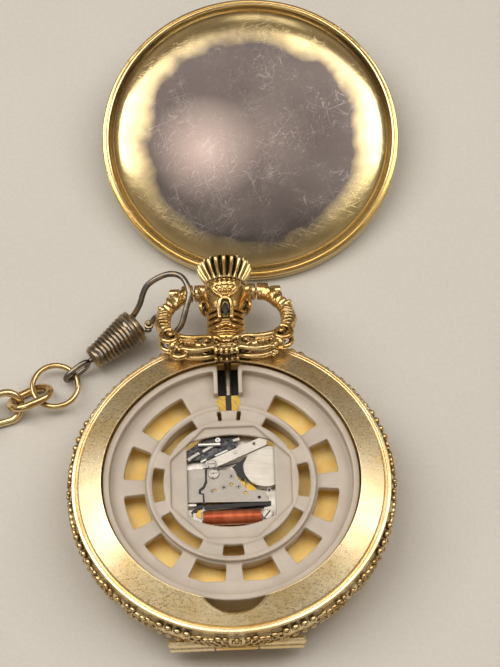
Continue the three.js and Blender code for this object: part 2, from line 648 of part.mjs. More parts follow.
function intermediateWheel() {
  let body = arbor(MIDDLE, PLATE_BOTTOM_Z + 0.2, BRIDGE_TOP_Z - FIT);
  body = body.add(gear(36, pitch(36, 6, ROTOR_GAP), TRAIN_MID_Z, TRAIN_MID_Z + WHEEL_THICK, MIDDLE));
  return body.add(gear(8, pitch(8, 40, MIDDLE_GAP), TRAIN_HIGH_Z, TRAIN_HIGH_Z + PINION_THICK, MIDDLE));
}

function rotor() {
  const body = arbor(ROTOR, PLATE_BOTTOM_Z + 0.2, BRIDGE_TOP_Z - FIT);
  const magnet = bar('z', 0.6, TRAIN_LOW_Z, TRAIN_LOW_Z + 0.26, [...ROTOR, 0], 16);
  const pinion = gear(6, pitch(6, 36, ROTOR_GAP), TRAIN_MID_Z, TRAIN_MID_Z + PINION_THICK, ROTOR);
  return body.add(magnet).add(pinion);
}

// Motion work between the dial and the main plate: cannon pinion, minute wheel, hour wheel.
const MOTION_GAP = Math.hypot(...MINUTE_WORK);
const CANNON_Z = MOVEMENT_BOTTOM_Z + 0.4;
const HOUR_WHEEL_Z = MOVEMENT_BOTTOM_Z + 0.1;

function cannonPinion() {
  const tube = bar('z', 0.42, BEZEL_SEAT_Z - 0.5, PLATE_BOTTOM_Z + 0.15, [0, 0, 0], 12);
  const teeth = gear(8, pitch(8, 24, MOTION_GAP), CANNON_Z, CANNON_Z + 0.25, CENTRE);
  return tube.add(teeth).subtract(bar('z', PIVOT_R + FIT, 0, 20, [0, 0, 0], 12));
}

function minuteWheel() {
  let body = arbor(MINUTE_WORK, MOVEMENT_BOTTOM_Z + 0.05, PLATE_BOTTOM_Z + 0.5);
  body = body.add(gear(24, pitch(24, 8, MOTION_GAP), CANNON_Z, CANNON_Z + 0.16, MINUTE_WORK));
  return body.add(gear(6, pitch(6, 24, MOTION_GAP), HOUR_WHEEL_Z, CANNON_Z, MINUTE_WORK));
}

function hourWheel() {
  const wheel = gear(24, pitch(24, 6, MOTION_GAP), HOUR_WHEEL_Z, HOUR_WHEEL_Z + 0.16, CENTRE);
  const tube = bar('z', 0.75, BEZEL_SEAT_Z - 0.22, HOUR_WHEEL_Z + 0.16, [0, 0, 0], 14);
  return wheel.add(tube).subtract(bar('z', 0.47, 0, 20, [0, 0, 0], 12));
}

// A leaf-shaped hand that points to 12, with an eye round its tube.
function hand(length, width, z, thick, boreR) {
  const shape = new THREE.Shape();
  shape.moveTo(-0.2, -2);
  shape.lineTo(0.2, -2);
  shape.lineTo(0.22, 1);
  shape.quadraticCurveTo(width, length * 0.55, 0, length);
  shape.quadraticCurveTo(-width, length * 0.55, -0.22, 1);
  const body = raised(shape, z, z + thick, 8).add(bar('z', boreR + 0.5, z, z + thick, [0, 0, 0], 16));
  return body.subtract(bar('z', boreR, z - 1, z + 1, [0, 0, 0], 12));
}

// ---------------------------------------------------------------- back cover, dome down
function backCover() {
  const dome = (r, lift) => [r, lift + COVER_DOME * (r / COVER_R) ** 2];
  const stations = [0, 0.45, 0.75, 0.92];
  const lipR = COVER_R - COVER_THICK;
  const top = COVER_DOME + COVER_WALL_HEIGHT;
  return turned([
    ...stations.map((share) => dome(share * COVER_R, 0)),
    [COVER_R, COVER_DOME],
    [COVER_R, top],
    [lipR, top],
    [lipR, top + 0.4],
    [lipR - 0.45, top + 0.4],
    [lipR - 0.45, COVER_DOME + COVER_THICK],
    ...stations.map((share) => dome(share * COVER_R, COVER_THICK)).reverse(),
  ], 48);
}

// ---------------------------------------------------------------- clasp
const SLEEVE_WIDE = vector([-13.5, BOW_PIVOT_Y - 3.1, 4.2]);
const SLEEVE_AIM = vector([-6.9, -4.8, -1.6]).normalize();
const SLEEVE_NARROW = SLEEVE_WIDE.clone().addScaledVector(SLEEVE_AIM, SLEEVE_LENGTH);
const MOUTH_DEPTH = 2;
const PLUG_R = SLEEVE_WIDE_R - 0.85;

// A turned body about the clasp's axis, from its outline [radius, distance from the wide end].
function turnedOnClasp(outline, segments = 16) {
  const closed = outline[0][0] > 0 ? [...outline, outline[0]] : outline;
  const points = closed.map(([r, s]) => new THREE.Vector2(r, s));
  const turn = new THREE.Quaternion().setFromUnitVectors(new THREE.Vector3(0, 1, 0), SLEEVE_AIM);
  const body = new THREE.LatheGeometry(points, segments).applyQuaternion(turn);
  return solid(body.translate(...SLEEVE_WIDE.toArray()));
}

function claspSleeve() {
  const end = SLEEVE_LENGTH;
  return turnedOnClasp([
    [PLUG_R + LOOSE, 0],
    [SLEEVE_WIDE_R - 0.2, 0],
    [SLEEVE_WIDE_R, 0.4],
    [SLEEVE_WIDE_R - 0.1, 1.8],
    [SLEEVE_NARROW_R + 0.15, end - 0.6],
    [SLEEVE_NARROW_R, end],
    [EYE_WIRE_R + LOOSE, end],
    [EYE_WIRE_R + LOOSE, MOUTH_DEPTH],
    [PLUG_R + LOOSE, MOUTH_DEPTH],
  ]);
}

const CLASP_ACROSS = new THREE.Vector3().crossVectors(UP, SLEEVE_AIM).normalize();
const onClasp = (along, across, lift = 0) => SLEEVE_WIDE.clone()
  .addScaledVector(SLEEVE_AIM, along).addScaledVector(CLASP_ACROSS, across)
  .add(new THREE.Vector3(0, 0, lift)).toArray();

// The plug in the sleeve's mouth and the wire that runs over the bow's ear,
// down through the bow's opening and back under its arm.
function claspHook() {
  const deep = MOUTH_DEPTH - LOOSE;
  const plug = turnedOnClasp([[0, -0.4], [PLUG_R, -0.4], [PLUG_R, deep], [0, deep]]);
  const route = through([
    onClasp(0, -1.2, 0.2),
    onClasp(-1.8, -1.5, 1.6),
    [-11.6, BOW_PIVOT_Y + 1.3, 8.3],
    [-8.7, BOW_PIVOT_Y + 2.3, 9.7],
    [-6.4, BOW_PIVOT_Y + 1.6, 10.2],
    [-5.3, BOW_PIVOT_Y - 1, 10.2],
    [-5.9, BOW_PIVOT_Y - 3.6, 9.3],
    [-6.7, BOW_PIVOT_Y - 5.6, 8.3],
    [-8, BOW_PIVOT_Y - 6.7, 7.6],
  ]);
  return plug.add(wire(route, 26, 6, () => [HOOK_WIRE_R, HOOK_WIRE_R], UP));
}

// The sprung gate that closes the hook's mouth, with its thumb lever beside the sleeve.
const GATE_PIVOT = onClasp(-1.35, 1.5, 0.5);

function claspGate() {
  const finger = through([GATE_PIVOT, onClasp(-2.9, 1.7, 1.3), [-8.4, BOW_PIVOT_Y - 6.4, 6.5]]);
  const body = wire(finger, 12, 8, () => [HOOK_WIRE_R - 0.05, HOOK_WIRE_R - 0.05], UP);
  const z = GATE_PIVOT[2];
  return body.add(bar('z', 0.7, z - 0.4, z + 0.4, GATE_PIVOT, 12))
    .subtract(bar('z', 0.3, z - 1, z + 1, GATE_PIVOT, 10));
}

function gatePin() {
  const z = GATE_PIVOT[2];
  return bar('z', 0.25, z - 0.6, z + 0.6, GATE_PIVOT, 10);
}

function swivelEye() {
  const side = SLEEVE_AIM;
  const at = (s, w) => SLEEVE_NARROW.clone().addScaledVector(side, s)
    .add(SLEEVE_LIFT.clone().multiplyScalar(w)).toArray();
  const near = 0.7;
  const far = near + EYE_LENGTH;
  const w = EYE_HALF_WIDTH;
  const loop = through([
    at(near, 0), at(near + 0.5, w * 0.8), at(near + 1.5, w), at(far - 1, w), at(far - 0.2, w * 0.6),
    at(far, 0), at(far - 0.2, -w * 0.6), at(far - 1, -w), at(near + 1.5, -w), at(near + 0.5, -w * 0.8),
  ], true);
  const shank = turnedOnClasp([
    [0, SLEEVE_LENGTH - 3], [EYE_WIRE_R, SLEEVE_LENGTH - 3],
    [EYE_WIRE_R, SLEEVE_LENGTH + near], [0, SLEEVE_LENGTH + near],
  ], 10);
  return wire(loop, 20, 6, () => [EYE_WIRE_R, EYE_WIRE_R], CLASP_ACROSS, true).add(shank);
}
const SLEEVE_LIFT = new THREE.Vector3().crossVectors(SLEEVE_AIM, CLASP_ACROSS).normalize();

const LEVEL_AIM = new THREE.Vector3(SLEEVE_AIM.x, SLEEVE_AIM.y, 0).normalize();
const EYE_HOLE = SLEEVE_NARROW.clone().addScaledVector(SLEEVE_AIM, 3.4);
const RING_AIM = LEVEL_AIM.clone().multiplyScalar(2 * RING_R)
  .addScaledVector(UP, CHAIN_Z - EYE_HOLE.z).normalize();
const RING_CENTRE = EYE_HOLE.clone().addScaledVector(RING_AIM, RING_R);

function jumpRing() {
  const shape = new THREE.TorusGeometry(RING_R, RING_WIRE_R, 8, 28);
  shape.applyQuaternion(new THREE.Quaternion().setFromUnitVectors(LEVEL_AIM, RING_AIM));
  return solid(shape.translate(...RING_CENTRE.toArray()));
}

// ---------------------------------------------------------------- chain
const COIL_X = -65.3;
const COIL_CENTRE_Y = -8.5;
// The chain's way from the jump ring to the first turn, chosen by hand.
const CHAIN_ROUTE = [
  [RING_CENTRE.x, RING_CENTRE.y, CHAIN_Z],
  [-33, 17.2, CHAIN_Z],
  [-42, 15.9, CHAIN_Z],
  [COIL_X + 12, COIL_CENTRE_Y + COIL_TURN_OUT_R, CHAIN_Z],
];
const CHAIN_LINE = through(CHAIN_ROUTE);
const FIRST_LINK_AT = 4.2;

function chainLink(number) {
  const along = (FIRST_LINK_AT + number * LINK_PITCH) / CHAIN_LINE.getLength();
  const centre = CHAIN_LINE.getPointAt(along);
  const ahead = CHAIN_LINE.getTangentAt(along);
  const flat = new THREE.Vector3().crossVectors(UP, ahead);
  const lean = radians(LINK_LEAN) * (number % 2 ? -1 : 1);
  const wide = flat.multiplyScalar(Math.cos(lean)).addScaledVector(UP, Math.sin(lean));
  const normal = new THREE.Vector3().crossVectors(ahead, wide).normalize();
  const straight = LINK_HALF_LENGTH - LINK_HALF_WIDTH;
  const points = [...Array(16).keys()].map((k) => {
    const turn = 2 * Math.PI * (k + 0.5) / 16;
    const reach = LINK_HALF_WIDTH * Math.cos(turn) + straight * Math.sign(Math.cos(turn));
    return centre.clone().addScaledVector(ahead, reach)
      .addScaledVector(wide, LINK_HALF_WIDTH * Math.sin(turn)).toArray();
  });
  return wire(through(points, true), 16, 6, () => [LINK_WIRE_R, LINK_WIRE_R], normal, true);
}

function chainRun() {
  const length = CHAIN_LINE.getLength();
  const lastLink = FIRST_LINK_AT + (LINK_COUNT - 1) * LINK_PITCH;
  const from = (lastLink + LINK_HALF_LENGTH + LINK_WIRE_R + 0.3) / length;
  const reach = COIL_TURN_OUT_R + CHAIN_TUBE_R * 2 + 0.6;
  const run = Math.sqrt(reach ** 2 - COIL_TURN_OUT_R ** 2);
  const to = 1 - (run - 11) / length;
  const points = [...Array(6).keys()]
    .map((k) => CHAIN_LINE.getPointAt(from + (to - from) * k / 5).toArray());
  return wire(through(points), 6, 8, () => [CHAIN_TUBE_R, CHAIN_TUBE_R], UP);
}

function chainCoil() {
  const r0 = COIL_TURN_IN_R - CHAIN_TUBE_R - 0.3;
  const r1 = COIL_TURN_OUT_R + CHAIN_TUBE_R + 0.3;
  return ring(r0, r1, 0, CHAIN_Z * 2).translate([COIL_X, COIL_CENTRE_Y, 0]);
}

const TBAR = [COIL_X - 3.4, COIL_CENTRE_Y + 3.8, TBAR_R + 0.1];

function chainTail() {
  const curve = through([
    [TBAR[0] + 15.4, TBAR[1] + 0.3, CHAIN_Z],
    [TBAR[0] + 11.4, TBAR[1] + 1.8, CHAIN_Z],
    [TBAR[0] + 8, TBAR[1] + 1.4, CHAIN_Z],
    [TBAR[0] + 5.5, TBAR[1] + 0.5, CHAIN_Z],
  ]);
  return wire(curve, 4, 8, () => [CHAIN_TUBE_R, CHAIN_TUBE_R], UP);
}

function tBar() {
  const [x, y, z] = TBAR;
  const eye = new THREE.TorusGeometry(1.9, 0.5, 5, 14).translate(x + TBAR_R + 1.9, y, z);
  let body = bar('y', TBAR_R, y - TBAR_HALF, y + TBAR_HALF, [x, y, z]);
  for (const side of [-1, 1]) {
    const ball = new THREE.SphereGeometry(TBAR_R + 0.1, 10, 6).translate(x, y + side * TBAR_HALF, z);
    body = body.add(solid(ball));
  }
  return body.add(solid(eye));
}

// ---------------------------------------------------------------- put together
add('case_band', caseBand(), gold());
add('front_lid', frontLid(), gold());
add('hinge_pin', hingePin(), gold());
add('crystal_bezel', crystalBezel(), gold());
add('crystal', crystal(), finish(0xe8eef0, 0, 0.05));
add('dial', dial(), brass());
add('lid_spring', lidSpring(), darkSteel());
add('lid_catch', lidCatch(), darkSteel());
add('pendant', pendant(), gold());
add('bow_pin_left', bowPin(-1), gold());
add('bow_pin_right', bowPin(1), gold());
add('crown', crown(), gold());
add('stem', stem(), steel());
add('setting_lever', settingLever(), steel());

const bowPlane = new THREE.Group();
bowPlane.position.set(0, BOW_PIVOT_Y, STEM_Z);
bowPlane.rotation.x = -radians(BOW_TILT);
add('bow', bow(), gold(), bowPlane);
watch.add(bowPlane);

add('movement_holder', movementHolder(), milkyPlastic());
add('main_plate', mainPlate(), steel());
add('train_bridge', trainBridge(), steel());
add('battery', battery(), steel());
add('battery_clamp', batteryClamp(), steel());
add('bridge_screw', screw(-2.5, 1.7, BRIDGE_TOP_Z + FIT), steel());
add('clamp_screw', screw(-2.7, 3.1, MOVEMENT_TOP_Z + FIT), steel());
add('coil_screw', screw(COIL_HALF_LENGTH + 0.7, COIL_Y, PLATE_TOP_Z + 1.1), steel());
add('circuit_board', circuitBoard(), finish(0x24282a, 0.1, 0.6));
add('quartz_can', quartzCan(), steel());
add('coil_core', coilCore(), brass());
add('coil_winding', coilWinding(), finish(0xb5562f, 0.8, 0.4));
add('stator_plate', statorPlate(), darkSteel());

add('second_hand', secondHand(), darkSteel());
add('seconds_wheel', secondsWheel(), brass());
add('third_wheel', thirdWheel(), brass());
add('centre_wheel', centreWheel(), brass());
add('intermediate_wheel', intermediateWheel(), milkyPlastic());
add('rotor', rotor(), darkSteel());
add('cannon_pinion', cannonPinion(), steel());
add('minute_wheel', minuteWheel(), brass());
add('hour_wheel', hourWheel(), brass());
add('minute_hand', hand(15, 1.1, BEZEL_SEAT_Z - 0.45, 0.12, 0.47), darkSteel());
add('hour_hand', hand(10, 1.5, BEZEL_SEAT_Z - 0.2, 0.12, 0.8), darkSteel());

const coverPlace = new THREE.Group();
const nearRimDrop = COVER_R * Math.sin(radians(COVER_TILT)) - COVER_DOME * Math.cos(radians(COVER_TILT));
coverPlace.position.set(COVER_X, COVER_Y, nearRimDrop + 0.05);
coverPlace.rotation.x = radians(COVER_TILT);
add('back_cover', backCover(), gold(), coverPlace);
watch.add(coverPlace);

add('clasp_sleeve', claspSleeve(), darkSteel());
add('clasp_hook', claspHook(), darkSteel());
add('clasp_gate', claspGate(), darkSteel());
add('gate_pin', gatePin(), darkSteel());
add('swivel_eye', swivelEye(), darkSteel());
add('jump_ring', jumpRing(), gold());
for (let number = 0; number < LINK_COUNT; number++) {
  add(`chain_link_${number + 1}`, chainLink(number), gold());
}
add('chain_run', chainRun(), gold());
add('chain_coil', chainCoil(), gold());
add('chain_tail', chainTail(), gold());
add('t_bar', tBar(), gold());

export default watch;
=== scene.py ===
from math import copysign, cos, pi, radians, sin, sqrt

import bpy
from mathutils import Matrix, Vector


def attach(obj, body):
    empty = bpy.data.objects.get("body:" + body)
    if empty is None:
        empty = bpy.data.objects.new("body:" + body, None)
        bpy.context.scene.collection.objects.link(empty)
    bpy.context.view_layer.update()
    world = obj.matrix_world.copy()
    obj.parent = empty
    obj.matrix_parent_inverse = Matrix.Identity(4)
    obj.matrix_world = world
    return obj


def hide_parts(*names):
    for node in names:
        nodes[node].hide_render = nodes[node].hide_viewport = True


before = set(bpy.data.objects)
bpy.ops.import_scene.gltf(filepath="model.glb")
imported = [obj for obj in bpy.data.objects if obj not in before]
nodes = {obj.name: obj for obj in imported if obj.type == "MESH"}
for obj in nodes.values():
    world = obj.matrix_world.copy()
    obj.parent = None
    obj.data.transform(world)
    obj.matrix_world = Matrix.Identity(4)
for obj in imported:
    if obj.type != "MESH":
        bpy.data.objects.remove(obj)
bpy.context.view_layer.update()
MM = 0.001
UP = Vector((0, 0, 1))

# ---------------------------------------------------------------- sizes shared with the model
CASE_R = 23.5
BORE_R = 21.2
FLANGE_OUT = (22.1, 10.2)
FLANGE_IN = (18.6, 11.8)
STEM_Z = 7.6
BOW_PIVOT = Vector((0, 32, 7.6))
BOW_TILT = radians(24)
SLEEVE_WIDE = Vector((-13.5, 28.9, 4.2))
SLEEVE_AIM = Vector((-6.9, -4.8, -1.6)).normalized()
SLEEVE_LENGTH = 8.4
SLEEVE_NARROW = SLEEVE_WIDE + SLEEVE_AIM * SLEEVE_LENGTH
CLASP_ACROSS = UP.cross(SLEEVE_AIM).normalized()
COVER_CENTRE = (4.7, 60.8)
CHAIN_Z = 2.014
LINK_PITCH = 4.7


# ---------------------------------------------------------------- node trees
def linear(code):
    """A colour written as RRGGBB, as scene-linear RGBA."""
    parts = [int(code[i : i + 2], 16) / 255 for i in (0, 2, 4)]
    return [c / 12.92 if c <= 0.04045 else ((c + 0.055) / 1.055) ** 2.4 for c in parts] + [1.0]


class Finish:
    """A Principled material with short calls for its texture nodes, in object space."""

    def __init__(self, name, **sockets):
        self.material = bpy.data.materials.new(name)
        self.material.use_nodes = True
        self.tree = self.material.node_tree
        self.bsdf = self.tree.nodes["Principled BSDF"]
        for key, value in sockets.items():
            self.bsdf.inputs[key.replace("_", " ").title().replace("Ior", "IOR")].default_value = value
        self.place = self.add("ShaderNodeTexCoord").outputs["Object"]

    def add(self, kind, **settings):
        node = self.tree.nodes.new(kind)
        for key, value in settings.items():
            setattr(node, key, value)
        return node

    def feed(self, socket, value):
        if isinstance(value, bpy.types.NodeSocket):
            self.tree.links.new(value, socket)
        else:
            socket.default_value = value

    def noise(self, size, detail=4, roughness=0.55, stretch=(1, 1, 1), at=None, distortion=0.0):
        """Noise whose features are about size millimetres across."""
        mapped = self.add("ShaderNodeMapping")
        self.feed(mapped.inputs["Vector"], at or self.place)
        mapped.inputs["Scale"].default_value = stretch
        node = self.add("ShaderNodeTexNoise")
        self.feed(node.inputs["Vector"], mapped.outputs[0])
        node.inputs["Scale"].default_value = 1000 / size
        node.inputs["Detail"].default_value = detail
        node.inputs["Roughness"].default_value = roughness
        node.inputs["Distortion"].default_value = distortion
        return node.outputs["Fac"]

    def cells(self, size):
        """A flat random colour for each cell about size millimetres across."""
        node = self.add("ShaderNodeTexVoronoi")
        self.feed(node.inputs["Vector"], self.place)
        node.inputs["Scale"].default_value = 1000 / size
        return node.outputs["Color"]

    def calc(self, operation, first, second=0.0):
        node = self.add("ShaderNodeMath", operation=operation)
        self.feed(node.inputs[0], first)
        self.feed(node.inputs[1], second)
        return node.outputs[0]

    def spread(self, value, low, high, to_low=0.0, to_high=1.0):
        node = self.add("ShaderNodeMapRange")
        for index, item in enumerate((value, low, high, to_low, to_high)):
            self.feed(node.inputs[index], item)
        return node.outputs[0]

    def mix(self, share, first, second, blend="MIX"):
        node = self.add("ShaderNodeMix", data_type="RGBA", blend_type=blend)
        self.feed(node.inputs[0], share)
        for socket, value in ((node.inputs[6], first), (node.inputs[7], second)):
            self.feed(socket, linear(value) if isinstance(value, str) else value)
        return node.outputs[2]

    def xyz(self, source):
        node = self.add("ShaderNodeSeparateXYZ")
        self.feed(node.inputs[0], source)
        return node.outputs

    def turned(self, angle):
        """Coordinates turned about Z."""
        node = self.add("ShaderNodeVectorRotate", rotation_type="Z_AXIS")
        self.feed(node.inputs["Vector"], self.place)
        node.inputs["Angle"].default_value = angle
        return node.outputs[0]

    def shifted(self, x, y):
        """Coordinates about a centre given in millimetres."""
        node = self.add("ShaderNodeVectorMath", operation="SUBTRACT")
        self.feed(node.inputs[0], self.place)
        node.inputs[1].default_value = (x * MM, y * MM, 0.0)
        return node.outputs[0]

    def radius(self, source):
        x, y, _ = self.xyz(source)
        square = self.calc("ADD", self.calc("MULTIPLY", x, x), self.calc("MULTIPLY", y, y))
        return self.calc("SQRT", square)

    def occlusion(self, reach):
        node = self.add("ShaderNodeAmbientOcclusion", samples=6)
        node.inputs["Distance"].default_value = reach * MM
        return node.outputs["AO"]

    def bump(self, height, depth, strength=1.0, normal=None):
        """Relief whose full height is depth millimetres."""
        node = self.add("ShaderNodeBump")
        self.feed(node.inputs["Height"], height)
        node.inputs["Distance"].default_value = depth * MM
        node.inputs["Strength"].default_value = strength
        if normal is not None:
            self.feed(node.inputs["Normal"], normal)
        return node.outputs[0]

    def soft_edges(self, radius):
        node = self.add("ShaderNodeBevel", samples=4)
        node.inputs["Radius"].default_value = radius * MM
        return node.outputs[0]

    def done(self, colour, roughness, normal=None, metallic=None):
        wanted = {"Base Color": colour, "Roughness": roughness, "Normal": normal, "Metallic": metallic}
        for key, value in wanted.items():
            if value is not None:
                self.feed(self.bsdf.inputs[key], value)
        return self.material


# ---------------------------------------------------------------- finishes
def plated_gold(name, light, deep, rough, recess_shade=0.0, pore=0.004, relief=0.0):
    """Worn gold plate: colour drift, fine scratches and painted shade in the recesses."""
    f = Finish(name, metallic=1.0)
    drift = f.noise(7, detail=3)
    colour = f.mix(f.spread(drift, 0.35, 0.65), light, deep)
    scratches = f.noise(0.3, detail=2, stretch=(0.5, 1.2, 1), distortion=0.6)
    pores = f.noise(0.12, detail=3)
    roughness = f.spread(f.calc("ADD", scratches, pores), 0.7, 1.35, rough * 0.75, rough * 1.7)
    # painted shade: ambient occlusion darkens the colour towards dark brown in recesses and creases
    if recess_shade:
        hollow = f.spread(f.occlusion(1.1), 0.3, 0.85, recess_shade, 0.0)
        colour = f.mix(hollow, colour, "2a1a0a")
        roughness = f.calc("ADD", roughness, f.calc("MULTIPLY", hollow, 0.35))
    height = f.calc("ADD", f.calc("MULTIPLY", scratches, 0.4), pores)
    normal = f.bump(height, pore, 0.5, f.soft_edges(0.06))
    if relief:
        normal = f.bump(f.noise(1.1, detail=4, roughness=0.6), relief, 0.8, normal)
    return f.done(colour, roughness, normal)


GOLD = plated_gold("polished_gold", "f6dfae", "e3bd78", rough=0.13)
GOLD_FLANGE = plated_gold("flange_gold", "f8e6bd", "ecd097", rough=0.27, pore=0.001)
GOLD_CAST = plated_gold("cast_gold", "ecd19a", "cfa560", rough=0.2, recess_shade=1.0, relief=0.03)
GOLD_BAND = plated_gold("band_gold", "ecd5a2", "cfa868", rough=0.2, recess_shade=0.95, relief=0.02)
CHAIN_GOLD = plated_gold("chain_gold", "ead2a0", "c9a873", rough=0.17, recess_shade=0.6)
GOLD_CROWN = plated_gold("crown_gold", "f0d8a0", "d6b068", rough=0.17, recess_shade=1.0)


def scratch_lines(f, angle, size, width):
    """Long thin scratches at one angle, as a mask."""
    streak = f.noise(size, detail=1, stretch=(0.05, 1, 1), at=f.turned(angle), distortion=0.3)
    return f.spread(f.calc("ABSOLUTE", f.calc("SUBTRACT", streak, 0.5)), 0.0, width, 1.0, 0.0)


def cover_finish():
    """Inside of the back cover: rubbed plate, taupe and scratched in the middle, bright gold at the rim."""
    f = Finish("cover_plate", metallic=1.0)
    reach = f.radius(f.shifted(*COVER_CENTRE))
    wander = f.calc("MULTIPLY", f.calc("SUBTRACT", f.noise(9, detail=3), 0.5), 0.006)
    rim = f.spread(f.calc("ADD", reach, wander), 0.0160, 0.0200)
    rub = f.noise(13, detail=5, roughness=0.5)
    middle = f.mix(f.spread(rub, 0.35, 0.65), "4b4340", "5a524e")
    # a pale round spot left of the middle of the dish
    patch = f.radius(f.shifted(-2.5, 60))
    middle = f.mix(f.spread(patch, 0.001, 0.009, 0.45, 0.0), middle, "d4bcb2")
    # a second paler round spot, right of the middle
    paler_spot = f.radius(f.shifted(7, 61.5))
    middle = f.mix(f.spread(paler_spot, 0.001, 0.008, 0.4, 0.0), middle, "80726c")
    colour = f.mix(rim, middle, f.mix(f.spread(f.noise(14, detail=2), 0.4, 0.6), "f2d8a0", "e6cf96"))
    marks = scratch_lines(f, 0.4, 0.9, 0.012)
    for angle, size, width in ((1.3, 1.2, 0.01), (2.2, 0.7, 0.014), (2.8, 1.6, 0.008)):
        marks = f.calc("MAXIMUM", marks, scratch_lines(f, angle, size, width))
    marks = f.calc("MULTIPLY", marks, f.spread(f.noise(5, detail=3), 0.4, 0.6))
    inside = f.calc("SUBTRACT", 1.0, rim)
    colour = f.mix(f.calc("MULTIPLY", f.calc("MULTIPLY", marks, inside), 0.16), colour, "d8ccc4")
    rough = f.calc("ADD", f.spread(rub, 0.3, 0.7, 0.24, 0.32), f.calc("MULTIPLY", rim, -0.1))
    relief = f.bump(marks, 0.01, 0.5, f.bump(f.noise(0.2, detail=3), 0.004, 0.4))
    return f.done(colour, rough, relief)


def holder_finish():
    """Natural moulded plastic: milky, warm, slightly cloudy, with soft edges."""
    f = Finish("milky_plastic", roughness=0.38, subsurface_weight=0.35, subsurface_scale=0.0015, ior=1.5)
    f.bsdf.inputs["Subsurface Radius"].default_value = (1.0, 0.8, 0.6)
    cloud = f.noise(5, detail=4)
    colour = f.mix(f.spread(cloud, 0.35, 0.65), "b9ad9f", "c6baab")
    # painted shade: ambient occlusion darkens the plastic towards brown in corners and recesses
    colour = f.mix(f.spread(f.occlusion(1.6), 0.35, 0.9, 0.75, 0.0), colour, "9a7f52")
    rough = f.spread(f.noise(1.5, detail=4), 0.3, 0.7, 0.3, 0.46)
    return f.done(colour, rough, f.bump(f.noise(0.35, detail=3), 0.012, 0.5, f.soft_edges(0.18)))


def dial_finish():
    """Printed ivory on the front, bare yellow brass on the back."""
    f = Finish("dial_plate")
    facing = f.xyz(f.add("ShaderNodeTexCoord").outputs["Normal"])[2]
    back = f.spread(facing, 0.2, 0.6)
    cloud = f.noise(2.5, detail=5, roughness=0.6)
    brass = f.mix(f.spread(cloud, 0.35, 0.65), "ffce6a", "ffe08c")
    ivory = f.mix(f.noise(8, detail=3), "ece6d8", "f4efe3")
    colour = f.mix(back, ivory, brass)
    relief = f.bump(f.noise(0.25, detail=3), 0.02, 0.6)
    return f.done(colour, f.spread(cloud, 0.3, 0.7, 0.4, 0.55), relief, f.calc("MULTIPLY", back, 0.15))


def crystal_finish():
    f = Finish("crystal_glass", roughness=0.02, ior=1.5, transmission_weight=1.0)
    haze = f.noise(6, detail=3)
    return f.done(f.mix(haze, "fbfcfc", "f4f7f8"), f.spread(haze, 0.3, 0.7, 0.01, 0.04))


def brushed_steel(name, light, dark, rough=0.32, angle=0.0, across=0.05):
    """Nickel or steel with a fine straight brush."""
    f = Finish(name, metallic=1.0)
    brush = f.noise(0.1, detail=2, stretch=(across, 1, 1), at=f.turned(angle))
    cloud = f.noise(2.5, detail=3)
    colour = f.mix(f.spread(f.calc("ADD", brush, cloud), 0.75, 1.25), light, dark)
    # painted shade: ambient occlusion darkens the metal towards dark brown in corners and recesses
    colour = f.mix(f.spread(f.occlusion(0.5), 0.3, 0.9, 0.6, 0.0), colour, "29241e")
    roughness = f.spread(brush, 0.3, 0.7, rough * 0.8, rough * 1.3)
    return f.done(colour, roughness, f.bump(brush, 0.004, 0.5, f.soft_edges(0.05)))


def circuit_finish():
    f = Finish("circuit_block", roughness=0.45)
    patches = f.cells(1.1)
    speck = f.noise(0.5, detail=4)
    colour = f.mix(f.spread(speck, 0.45, 0.6), "2b2a2c", "6b6a6a")
    colour = f.mix(0.25, colour, patches, "MULTIPLY")
    return f.done(colour, f.spread(speck, 0.3, 0.7, 0.3, 0.6), f.bump(speck, 0.03, 0.6, f.soft_edges(0.05)))


def copper_finish():
    f = Finish("lacquered_copper", metallic=0.85, coat_weight=0.4, coat_roughness=0.25)
    drift = f.noise(1.4, detail=3, stretch=(1, 0.3, 0.3))
    colour = f.mix(f.spread(drift, 0.35, 0.65), "d07a52", "e8966c")
    return f.done(colour, f.spread(drift, 0.3, 0.7, 0.3, 0.42), f.bump(f.noise(0.12, detail=2), 0.006, 0.5))


def pewter_finish():
    """Dark plating rubbed to brass on raised edges."""
    f = Finish("worn_pewter", metallic=1.0)
    worn = f.noise(1.3, detail=4, roughness=0.6)
    edge = f.spread(f.add("ShaderNodeNewGeometry").outputs["Pointiness"], 0.5, 0.56)
    share = f.calc("ADD", f.spread(worn, 0.5, 0.68, 0.0, 0.6), f.calc("MULTIPLY", edge, 0.55))
    # painted shade: ambient occlusion darkens the colour towards near black in recesses
    hollow = f.spread(f.occlusion(0.6), 0.35, 0.95, 0.8, 0.0)
    colour = f.mix(share, f.mix(f.noise(3), "6f6a64", "958d84"), "c4a670")
    colour = f.mix(hollow, colour, "1d1814")
    relief = f.bump(f.noise(0.3, detail=4), 0.02, 0.6, f.soft_edges(0.05))
    return f.done(colour, f.spread(worn, 0.3, 0.7, 0.24, 0.42), relief)


def ink_finish(name, light, dark, rough):
    f = Finish(name, roughness=rough)
    grain = f.noise(0.4, detail=3)
    roughness = f.spread(grain, 0.3, 0.7, rough * 0.85, rough * 1.15)
    return f.done(f.mix(grain, light, dark), roughness, f.bump(grain, 0.01, 0.5))


